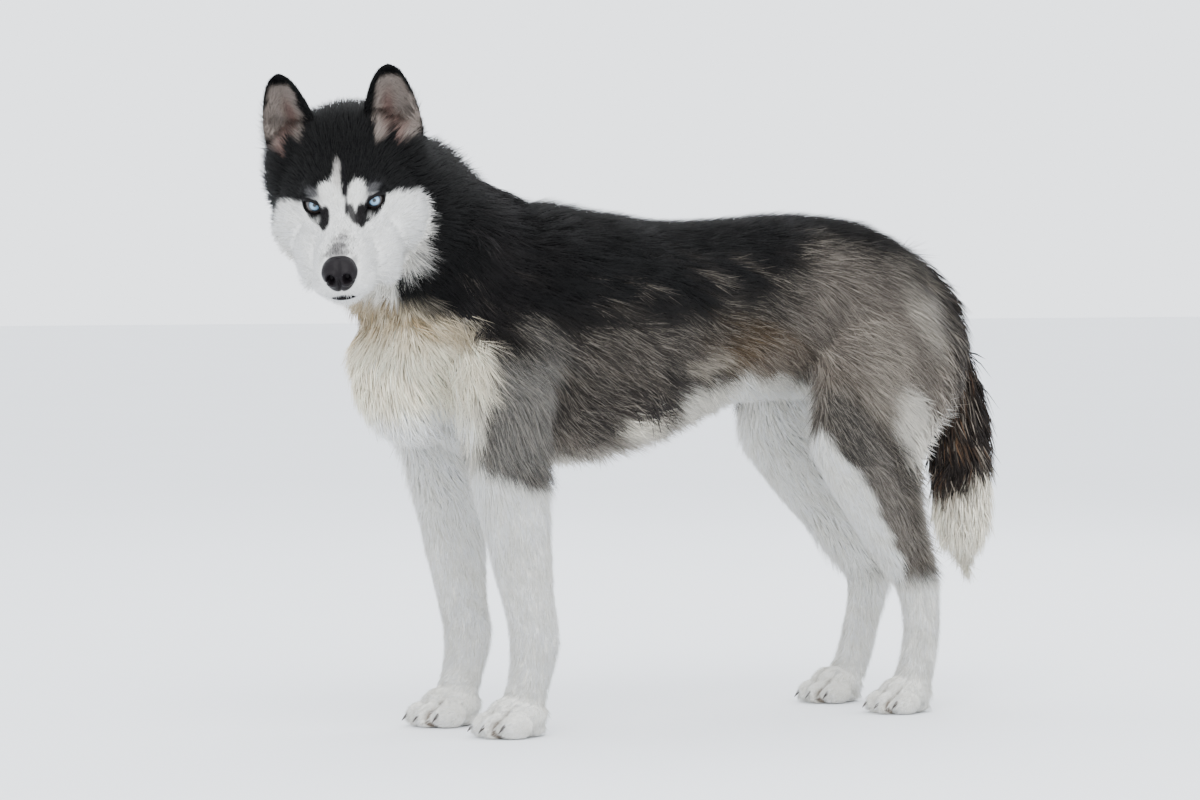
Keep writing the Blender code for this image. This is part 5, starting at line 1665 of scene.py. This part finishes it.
@dataclass
class Coat:
    """The whole coat of solid tufts."""

    lie: Lie
    markings: Markings
    shift: Vector
    material: bpy.types.Material
    bent_hair: float = 0.037
    longest_reach: float = 0.02
    ear_density: float = 760_000
    outer_ear: tuple[float, float, float] = (0.007, 9, 0.0011)
    inner_ear: tuple[float, float, float] = (0.009, 20, 0.00085)

    PIECES = {
        Shell.BODY: ("trunk", Slot.GREY),
        Shell.HEAD: ("head", Slot.BLACK),
        Shell.EARS: ("ears", Slot.BLACK),
        Shell.FEET: ("feet", Slot.WHITE),
    }

    def roots(self, skin: Piece, counts: list[int], dice: np.random.Generator) -> Tufts:
        """Strews roots over the skin, as densely as the guides say.

        Args:
            skin: The skin with its unwrap, in triangles.
            counts: Vertices of each shell.
            dice: Where chance comes from.

        Returns:
            The tufts that aren't buried in another shell, with nothing but their roots.
        """
        mesh = skin.data
        triangles = np.empty(len(mesh.polygons) * 3, np.int32)
        mesh.polygons.foreach_get("vertices", triangles)
        triangles = triangles.reshape(-1, 3)
        flat = np.empty(len(mesh.loops) * 2, np.float32)
        mesh.uv_layers[BAKE_MAP].data.foreach_get("uv", flat)
        flat = flat.reshape(-1, 3, 2)
        points, normals = corners_of(skin), corners_of(skin, "normal")
        shell = np.searchsorted(np.cumsum(counts), triangles[:, 0], side="right")
        first, second, third = (points[triangles[:, i]] for i in range(3))
        areas = np.linalg.norm(np.cross(second - first, third - first), axis=1) / 2
        density = self.lie.at(points[triangles].mean(axis=1))[1][:, 4] * 10_000
        density = np.where(shell == Shell.EARS, self.ear_density, density)
        chosen = np.repeat(np.arange(len(triangles)), dice.poisson(areas * density))
        spread = dice.random((len(chosen), 2))
        flipped = spread.sum(axis=1) > 1
        spread[flipped] = 1 - spread[flipped]
        weights = np.stack([1 - spread.sum(axis=1), spread[:, 0], spread[:, 1]], axis=1)[:, :, None]
        corners = triangles[chosen]
        roots = Tufts(
            (points[corners] * weights).sum(axis=1),
            unit((normals[corners] * weights).sum(axis=1)),
            (flat[chosen] * weights).sum(axis=1),
            shell[chosen],
        )
        return roots.some(~self.buried(skin, triangles, shell, roots) & (roots.points[:, 2] > 0.0012))

    def buried(self, skin: Piece, triangles: Array, shell: Array, roots: Tufts) -> Array:
        """Finds roots inside the eyes, nose or mouth, between toes, or under another shell's surface.

        Args:
            skin: The skin.
            triangles: Its triangles.
            shell: The shell of each triangle.
            roots: All roots.

        Returns:
            True for each root that is buried.
        """
        corners = [tuple(place) for place in corners_of(skin)]
        seam, seam_way = Vector(HEAD.seam[0]), Vector(HEAD.seam[1]).normalized()
        hidden = np.zeros(len(roots.points), bool)
        trees = {}
        for number in (Shell.BODY, Shell.HEAD):
            faces = [tuple(face) for face in triangles[shell == number]]
            trees[number] = BVHTree.FromPolygons(corners, faces)
        for number, other in ((Shell.BODY, Shell.HEAD), (Shell.HEAD, Shell.BODY), (Shell.EARS, Shell.HEAD)):
            way = 1 if number == Shell.BODY else -1
            for i in np.flatnonzero(roots.shells == number):
                place = Vector(roots.points[i])
                # Only hair near the seam of head and body can be under the other one.
                if number != Shell.EARS and way * (place - seam).dot(seam_way) < -0.006:
                    continue
                spot, normal, _, _ = trees[other].find_nearest(place, 0.03)
                if spot is not None and (place - spot).dot(normal) < -0.0006:
                    hidden[i] = True
        half_length, half_height = HEAD.opening
        for side in SIDES:
            eye = turned(roots.points, (TO_BODY @ HEAD.eye_frame(side)).inverted())
            off = np.linalg.norm(eye, axis=1)
            hole = np.hypot(eye[:, 1] / (1.12 * half_length), eye[:, 2] / (1.25 * half_height)) < 1.0
            hidden |= off < HEAD.eye_radius + 0.0008
            hidden |= (off < HEAD.lid_radius + 0.0012) & hole & (eye[:, 0] > 0)
        own = turned(roots.points, TO_HEAD)
        nose = (own - np.array(HEAD.nose_centre)) / (np.array(HEAD.nose_size) * 1.05)
        hidden |= np.linalg.norm(nose, axis=1) < 1
        hidden |= (own[:, 0] > 0.084) & (np.abs(own[:, 2] + 0.0598) < 0.0026) & (np.abs(own[:, 1]) < 0.01)
        return hidden | (self.markings.toe_gaps(roots.points) > 0.6)

    def grow(self, skin: Piece, counts: list[int]) -> None:
        """Grows every tuft and parts them in pieces.

        Args:
            skin: The skin with its unwrap.
            counts: Vertices of each shell.
        """
        dice = np.random.default_rng(SEED)
        hair = self.roots(skin, counts, dice)
        count = len(hair.points)
        on_head, on_ears = hair.shells == Shell.HEAD, hair.shells == Shell.EARS
        hair.ways, values = self.lie.at(hair.points)
        hair.length, hair.width = values[:, 0] / 1000, values[:, 3] / 1000
        hair.lift = np.radians(values[:, 1])
        # A marking stands where the hair's outer half is seen, not where it is rooted.
        seen = hair.points + hair.ways * np.minimum(hair.length * 0.55, self.longest_reach)[:, None]
        seen[on_ears] = hair.points[on_ears]
        colours, grizzle = self.markings.colours(seen, hair.normals, on_head | on_ears)
        self.set_ears(hair)
        # Tufts lean together in clumps, small ones within larger ones, and each strays a little.
        sway = np.stack([Noise(SEED + 20 + i).at(hair.points, 0.03) for i in range(3)], axis=1) * 0.34
        sway += np.stack([Noise(SEED + 30 + i).at(hair.points, 0.009) for i in range(3)], axis=1) * 0.42
        sway += dice.normal(0, 0.13, (count, 3))
        ways = unit(hair.ways + sway * np.clip(hair.length / 0.03, 0.35, 1.0)[:, None])
        ways = ways - hair.normals * (ways * hair.normals).sum(axis=1, keepdims=True)
        hair.length = hair.length * (0.35 + 0.65 * ramp(0.15, 0.55, np.linalg.norm(ways, axis=1)))
        hair.ways = unit(ways)
        bends = hair.length > self.bent_hair
        hair.length = hair.length * dice.uniform(0.72, 1.22, count)
        hair.lift = hair.lift * dice.uniform(0.45, 1.6, count)
        hair.width = hair.width * dice.uniform(0.75, 1.25, count)
        # Grizzled hair: some tufts pale, some dark, and dark specks above the nose
        tone = dice.normal(0, 1, count)
        smudge = SMUDGE.cover(turned(hair.points, TO_HEAD), np.zeros(count)) * on_head
        speckled = dice.random(count) < smudge
        faded = 1 - dice.uniform(0.35, 1.0, (int(speckled.sum()), 1))
        colours[speckled] = colours[speckled] * faded + linear(DARK_SPECK)
        pepper = np.where(tone[:, None] > 0.55, linear("#a59c8f"), linear("#26221f"))
        share = (grizzle * np.where(tone > 0.55, 0.4, np.where(tone < -0.15, 0.5, 0.0)))[:, None]
        colours = colours * (1 - share) + pepper * share
        hair.colours = np.clip(colours * (1 + 0.11 * dice.normal(0, 1, count))[:, None], 0.004, 0.95)
        for shell, (word, slot) in self.PIECES.items():
            # Long hair bends, so it has a joint on the way: 10 triangles to a tuft, and 4 without one.
            for is_long in (True, False):
                chosen = np.flatnonzero((hair.shells == shell) & (bends == is_long))
                size = MOST_TRIANGLES // (10 if is_long else 4)
                for part, start in enumerate(range(0, len(chosen), size), 1):
                    name = f"coat_{word}_{'long' if is_long else 'short'}_{part}"
                    piece = self.tufts(name, hair.some(chosen[start : start + size]), is_long)
                    dressed(piece, self.material, self.shift, [])

    def set_ears(self, hair: Tufts) -> None:
        """Sets the hair of the ears: short and towards the tip outside, longer and finer in the cups.

        Args:
            hair: All tufts, of which those on the ears are changed.
        """
        own = turned(hair.points, TO_HEAD)
        facing = hair.normals @ np.array(TO_HEAD)[:3, :3].T
        turn = np.array(TO_BODY)[:3, :3]
        outer, inner = self.outer_ear, self.inner_ear
        for side in SIDES:
            up, across, front, size = HEAD.ear_axes(side)
            spots = own - np.array(HEAD.EARS[side].base)
            high, wide = spots @ up / size, spots @ across
            chosen = (hair.shells == Shell.EARS) & (np.sign(own[:, 1]) == side)
            in_cup = chosen & (facing @ front > 0.15)
            way = np.tile(up, (len(spots), 1))
            way[in_cup] = (up * 0.9)[None] + np.outer(-np.sign(wide[in_cup]) * 0.55, across) + front * 0.25
            hair.ways[chosen] = (unit(way) @ turn.T)[chosen]
            # The cup's hair is longest at its lower rim, and all hair shortens to the tip.
            rim = np.clip(np.abs(wide) / 0.024, 0, 1) * (high < 0.6)
            length = np.where(in_cup, inner[0] + 0.008 * rim, outer[0])
            hair.length[chosen] = (length * (1 - 0.6 * ramp(0.8, 0.98, high)))[chosen]
            hair.lift[chosen] = np.radians(np.where(in_cup, inner[1], outer[1]))[chosen]
            hair.width[chosen] = np.where(in_cup, inner[2], outer[2])[chosen]

    def tufts(self, name: str, hair: Tufts, is_long: bool) -> Piece:
        """Makes one piece of the coat from arrays: flat, pointed, three-sided tufts.

        Args:
            name: The piece's name.
            hair: The tufts that it has.
            is_long: Whether they have a joint.

        Returns:
            The piece.
        """
        base, normal, way = hair.points, hair.normals, hair.ways
        side = unit(np.cross(normal, way))
        size, angle, half = hair.length[:, None], hair.lift[:, None], hair.width[:, None] / 2
        lean = way * np.cos(angle) + normal * np.sin(angle)
        rings = [(base - normal * 0.0012 - way * 0.12 * size, 0.85)]
        # Hair is painted darker at its root, where it lies in the shade of the rest, and painted lighter at
        # its tip, where the light falls.
        shades = [0.7]
        if is_long:
            # Past its middle a tuft sinks back towards the skin.
            bend = way * np.cos(0.25 * angle) + normal * np.sin(0.25 * angle)
            middle = base + lean * size * 0.55
            rings.append((middle, 1.0))
            shades.append(0.95)
            tip = middle + bend * size * 0.45
        else:
            tip = base + lean * size
        # Painted light: the tip is brighter than the hair's own colour.
        shades.append(1.16)
        blocks = []
        for centre, broad in rings:
            thick = half * 0.55 * broad
            blocks += [centre + side * half * broad, centre + normal * thick, centre - side * half * broad]
        blocks.append(tip)
        rows = len(blocks)
        points = np.stack(blocks, axis=1).reshape(-1, 3)
        points[:, 2] = np.maximum(points[:, 2], FLOOR_GAP)
        shade = np.repeat(shades, [3] * len(rings) + [1])
        tints = (hair.colours[:, None, :] * shade[None, :, None]).reshape(-1, 3)
        pattern = [(0, 2, 1)]
        for ring in range(len(rings) - 1):
            low, high = 3 * ring, 3 * ring + 3
            for i in range(3):
                j = (i + 1) % 3
                pattern += [(low + i, low + j, high + j), (low + i, high + j, high + i)]
        last = 3 * (len(rings) - 1)
        pattern += [(last + i, last + (i + 1) % 3, rows - 1) for i in range(3)]
        faces = (np.arange(len(base))[:, None, None] * rows + np.array(pattern)[None]).reshape(-1, 3)
        mesh = bpy.data.meshes.new(name)
        mesh.vertices.add(len(points))
        mesh.vertices.foreach_set("co", points.ravel())
        mesh.loops.add(faces.size)
        mesh.loops.foreach_set("vertex_index", faces.ravel().astype(np.int32))
        mesh.polygons.add(len(faces))
        mesh.polygons.foreach_set("loop_start", np.arange(0, faces.size, 3, dtype=np.int32))
        mesh.update(calc_edges=True)
        # Each tuft has a patch of the unwrap round its root.
        lines = np.linspace(0, 1, rows)
        offsets = np.stack([0.5 + 0.5 * np.cos(np.arange(rows) * 2.1), lines], axis=1) - 0.5
        unwrap = (hair.patches[:, None] + BAKE_PATCH * offsets[None]).reshape(-1, 2)
        unwrap = np.clip(unwrap, 0.0005, 0.9995)[faces.ravel()].astype(np.float32)
        mesh.uv_layers.new(name=BAKE_MAP).data.foreach_set("uv", unwrap.ravel())
        obj = linked(name, mesh)
        paint_corners(obj, tints)
        return obj


# Face


@dataclass
class Face:
    """Eyes, lids, nose, lips and whiskers."""

    shift: Vector
    viewer: Vector
    iris: float = 0.006
    pupil: float = 0.0021
    lid_width: float = 0.0042
    lip: float = 0.0026
    whisker: float = 0.00022

    def eye(self, side: int) -> None:
        """Makes an eyeball that looks at the viewer, with a low cornea over an ice-blue iris.

        Args:
            side: 1 for left, -1 for right.
        """
        frame = TO_BODY @ HEAD.eye_frame(side)
        centre = frame.translation
        word = "left" if side > 0 else "right"
        eye = ball(f"eyeball_{word}", (0, 0, 0), (HEAD.eye_radius,) * 3, 96, 64)
        # The pole of the sphere is turned to the gaze, which is most of the way to the viewer.
        to_viewer = (self.viewer - self.shift - centre).normalized()
        gaze = (to_viewer * 0.75 + (frame.to_3x3() @ AHEAD) * 0.25).normalized()
        eye.data.transform(gaze.to_track_quat("Z", "Y").to_matrix().to_4x4())
        points = corners_of(eye)
        along = points @ np.array(gaze)
        ahead = along > 0
        radius = np.where(ahead, np.linalg.norm(points - np.outer(along, gaze), axis=1), HEAD.eye_radius)
        angle = np.arctan2(points @ np.array(gaze.cross(UP).normalized()), points @ np.array(UP))
        rays = 0.5 + 0.5 * np.sin(angle * 37 + 3 * np.sin(angle * 11))
        iris = linear("#86aac6") * (0.7 + 0.34 * rays)[:, None]
        iris = iris * (0.82 + 0.3 * ramp(0.006, 0.0026, radius))[:, None]
        ball_paint = Layers(np.tile(linear("#2a2422"), (len(points), 1)))
        ball_paint.lay(iris, ramp(self.iris + 0.0003, self.iris - 0.0004, radius))
        # The dark ring round the iris, and the pupil
        ball_paint.lay("#1b222b", 0.9 * ramp(0.0013, 0.0002, np.abs(radius - self.iris)) * ahead)
        ball_paint.lay("#050506", ramp(self.pupil + 0.0003, self.pupil - 0.0002, radius))
        paint_corners(eye, ball_paint.colour)
        bulge = 0.0007 * ramp(self.iris, 0.0, radius) * ahead
        set_corners(eye, points + np.outer(bulge, gaze) + np.array(centre))
        dressed(eye, EYE.material(), self.shift, [f"eye_{word}"])

    def lids(self, side: int) -> None:
        """Makes the dark rims of the lids: a torus drawn to the pointed oval between them.

        Args:
            side: 1 for left, -1 for right.
        """
        clear_selection()
        bpy.ops.mesh.primitive_torus_add(
            major_segments=80, minor_segments=14, major_radius=1.0, minor_radius=0.25
        )
        lids = named(f"eyelids_{'left' if side > 0 else 'right'}")
        points = corners_of(lids)
        angles = np.arctan2(points[:, 1], points[:, 0])
        out, thick = np.hypot(points[:, 0], points[:, 1]) - 1, points[:, 2]
        half_length, half_height = HEAD.opening
        rim = np.stack([1.04 * half_length * np.cos(angles), 1.08 * half_height * pointed(angles)], axis=1)
        # The upper lid is thicker than the lower one.
        size = self.lid_width * (1 + 0.25 * ramp(-0.2, 0.6, np.sin(angles)))
        outwards = rim / np.maximum(np.linalg.norm(rim, axis=1, keepdims=True), 1e-6)
        spot = rim + outwards * (out * size)[:, None]
        reach = HEAD.lid_radius + 0.0001 + thick * size
        depth = np.sqrt(np.maximum(reach**2 - (spot**2).sum(axis=1), 1e-6))
        set_corners(lids, turned(np.column_stack([depth, spot]), TO_BODY @ HEAD.eye_frame(side)))
        dressed(lids, LID_LEATHER.material(), self.shift, [])

    def nose(self) -> None:
        """Makes the nose leather with open nostrils, their slits and the groove below."""
        nose = ball("nose_leather", (0, 0, 0), (1, 1, 1), 128, 96)
        round_points = corners_of(nose)
        points = np.sign(round_points) * np.abs(round_points) ** 0.86 * np.array(HEAD.nose_size)
        # These are views: a change to one of them moves the points.
        x, y, z = points.T
        # Narrower below, and a flatter front with a rounded top that runs back to the bridge
        y *= 1 - 0.2 * ramp(0.004, -0.014, z)
        x -= 0.003 * ramp(0.004, 0.016, z)
        for side in SIDES:
            spot = np.hypot((y - side * 0.008) / 0.0048, (z + 0.0002) / 0.0058)
            hole = 0.0085 * ramp(1.1, 0.4, spot) * (x > 0)
            # The slit runs from the nostril down and out.
            offset = np.stack([side * (y - side * 0.009), z + 0.0018], axis=1)
            along, off = offset @ np.array((0.8, -0.6)), offset @ np.array((0.6, 0.8))
            slit = 0.005 * ramp(0.0022, 0.0005, np.abs(off)) * ramp(-0.002, 0.001, along)
            x -= np.maximum(hole, slit * ramp(0.011, 0.007, along) * (x > -0.004))
            # The wing stands up a little round the nostril.
            x += 0.0013 * ramp(1.9, 1.2, spot) * ramp(0.9, 1.2, spot) * (x > 0)
        x -= 0.0024 * ramp(0.0014, 0.0002, np.abs(y)) * ramp(0.002, -0.002, z) * (x > 0)
        x -= 0.0012 * ramp(0.0042, 0.0006, np.abs(y)) * (x > 0)
        set_corners(nose, turned(points + np.array(HEAD.nose_centre), TO_BODY))
        dressed(nose, NOSE_LEATHER.material(), self.shift, ["nose"])

    def lips(self) -> None:
        """Makes the dark edge of the lower lip, thick under the nose and thin along both sides."""
        turns = np.radians(np.linspace(-118, 118, 41))
        # Round the front of the jaw and back along it, in the head's axes
        front = 0.0865 + 0.009 * np.cos(turns) - 0.01 * (np.abs(turns) / 2) ** 2
        line = np.stack([front, 0.0165 * np.sin(turns), -0.062 - 0.002 * np.abs(np.sin(turns))], axis=1)
        thick = self.lip * (0.3 + 0.7 * np.exp(-((turns / 0.55) ** 2)))
        lips = skinned("lower_lip", tube_sections(line, thick, 12))
        lips.data.transform(TO_BODY)
        dressed(lips, LID_LEATHER.material(), self.shift, [])

    def whiskers(self) -> None:
        """Makes stiff pale whiskers, in four rows on each side of the muzzle."""
        dice = np.random.default_rng(SEED + 5)
        steps = np.linspace(0, 1, 7)[:, None]
        droop = np.array((-0.25, 0, -0.22))
        radii = self.whisker * (1 - 0.85 * np.linspace(0, 1, 7))
        hairs = []
        for side in SIDES:
            for row, column in np.ndindex(4, 4):
                across = side * (0.0215 + 0.003 * column)
                root = np.array((0.08 - 0.0085 * column, across, -0.043 - 0.0052 * row))
                way = np.array((-0.15 - 0.22 * column, side * 1.0, -0.15 - 0.12 * row))
                way = unit(way + dice.normal(0, 0.06, 3))
                length = dice.uniform(0.02, 0.03) + 0.002 * column
                line = root + way * length * steps + droop * length * steps**2
                hairs.append(skinned("whisker", tube_sections(line, radii, 5)))
        whiskers = joined("whiskers", hairs)
        whiskers.data.transform(TO_BODY)
        paint_corners(whiskers, np.tile(linear("#d9d8d4"), (len(whiskers.data.vertices), 1)))
        dressed(whiskers, HAIR.material(), self.shift, [])


# Claws


@dataclass
class Claws:
    """Sixteen claws, one at the end of each toe."""

    shift: Vector
    length: float = 0.0125
    radius: float = 0.0027
    root: Triple = (0.012, 0.0, 0.0035)
    steps: int = 8

    def build(self) -> None:
        """Models each claw where its solid is."""
        material = HORN.material()
        up = Vector((0.45, 0, 1)).normalized()
        for word, side in (("left", 1), ("right", -1)):
            for foot, is_hind in (("forepaw", False), ("hindpaw", True)):
                centre, scale = SHAPE.paw_place(side, is_hind)
                for number, toe in enumerate(SHAPE.TOES, 1):
                    solid = f"claw_{foot}_{word}_{number}"
                    off = Vector(self.root) + Vector((0, toe[1] * 0.1, 0))
                    root = centre + (Vector((*toe, SHAPE.toe_height)) + off) * scale
                    sections = []
                    for t in np.arange(self.steps + 1) / self.steps:
                        drop = 0.0028 * t + 0.0062 * t * t
                        middle = root + Vector((self.length * t, toe[1] * 0.06 * t, -drop)) * scale
                        radius = self.radius * scale * (1 - 0.84 * t**1.6)
                        sections.append(oval(middle, LEFT, up, radius * 0.8, radius, radius, 2, 14))
                    claw = skinned(f"{solid}_horn", sections)
                    points = corners_of(claw)
                    points[:, 2] = np.maximum(points[:, 2], FLOOR_GAP)
                    set_corners(claw, points)
                    dressed(claw, material, self.shift, [solid])


# Studio


@dataclass
class Studio:
    """Floor, light and camera."""

    shift: Vector
    eye: Triple = (2.718, 4.198, 0.5)
    towards: Triple = (0.53, 0.848, 0.0)
    pitch: float = 1.7
    lens: float = 136.5
    sky: float = 3.05
    # A wide soft light above and before the model, and a weaker one behind it, as under a bright sky:
    # place, width and power
    LAMPS = (((1.6, 2.6, 3.4), 3.0, 150.0), ((-2.2, -1.6, 2.8), 3.0, 60.0))

    def camera_place(self) -> Vector:
        """Where the camera stands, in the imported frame."""
        return Vector(self.eye) + self.shift

    def build(self) -> None:
        """Sets up the studio."""
        back = Vector(self.towards).normalized()
        right = UP.cross(back).normalized()
        angle = math.radians(self.pitch)
        look = -back * math.cos(angle) - UP * math.sin(angle)
        up = right.cross(look).normalized()
        turn = Matrix((right, up, -look)).transposed().to_4x4()
        clear_selection()
        bpy.ops.object.camera_add()
        camera = bpy.context.view_layer.objects.active
        camera.matrix_world = Matrix.Translation(self.camera_place()) @ turn
        camera.data.lens = self.lens
        camera.data.sensor_width = 36.0
        camera.data.sensor_fit = "HORIZONTAL"
        camera.data.clip_end = 100.0
        bpy.context.scene.camera = camera
        clear_selection()
        bpy.ops.mesh.primitive_plane_add(size=60)
        floor = named("studio_floor")
        floor.data.materials.append(FLOOR.material())
        for place, size, power in self.LAMPS:
            bpy.ops.object.light_add(type="AREA", location=place)
            lamp = bpy.context.view_layer.objects.active
            lamp.data.shape = "DISK"
            lamp.data.size = size
            lamp.data.energy = power
            lamp.rotation_euler = (Vector((0, 0, 0.35)) - Vector(place)).to_track_quat("-Z", "Y").to_euler()
        world = bpy.data.worlds.new("pale_sky")
        world.use_nodes = True
        sky = world.node_tree.nodes["Background"]
        sky.inputs["Color"].default_value = (*linear("#e6eaef"), 1)
        sky.inputs["Strength"].default_value = self.sky
        bpy.context.scene.world = world


FLESH = ["chest", "loin", "rump", "neck", "head", "tail", "ear_left", "ear_right"]
LIMBS = ("foreleg_upper", "foreleg_lower", "hindleg_upper", "hindleg_lower", "forepaw", "hindpaw")
FLESH += [f"{limb}_{side}" for limb in LIMBS for side in ("left", "right")]


def place_of_body() -> Vector:
    """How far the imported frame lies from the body's own axes, from the middle between the eyes."""
    middle = Vector()
    for word in ("left", "right"):
        low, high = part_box(f"eye_{word}")
        middle += (low + high) / 4
    shift = middle - TO_BODY @ Vector((-HEAD.eye_depth, 0, 0))
    return Vector((shift.x, shift.y, 0.0))


def main() -> None:
    """Builds skin, face, claws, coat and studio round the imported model."""
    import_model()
    shift = place_of_body()
    LOG.info("body's axes are moved by %s", [round(value, 4) for value in shift])
    lie, markings = Lie(), Markings()
    studio = Studio(shift)
    studio.build()
    skin, counts = Skin(lie).build()
    shells = np.repeat(np.arange(len(counts)), counts)
    heads = (shells == Shell.HEAD) | (shells == Shell.EARS)
    colours, _ = markings.colours(corners_of(skin), corners_of(skin, "normal"), heads)
    # The skin takes the coat's markings, darkened as painted shade under the hair.
    paint_corners(skin, colours * SHADE_UNDER_HAIR)
    Coat(lie, markings, shift, HAIR.material()).grow(skin, counts)
    dressed(skin, HIDE.material(), shift, FLESH)
    face = Face(shift, studio.camera_place())
    for side in SIDES:
        face.eye(side)
        face.lids(side)
    face.nose()
    face.lips()
    face.whiskers()
    Claws(shift).build()


if __name__ == "__main__":
    logging.basicConfig(level=logging.INFO, format="%(message)s")
    main()
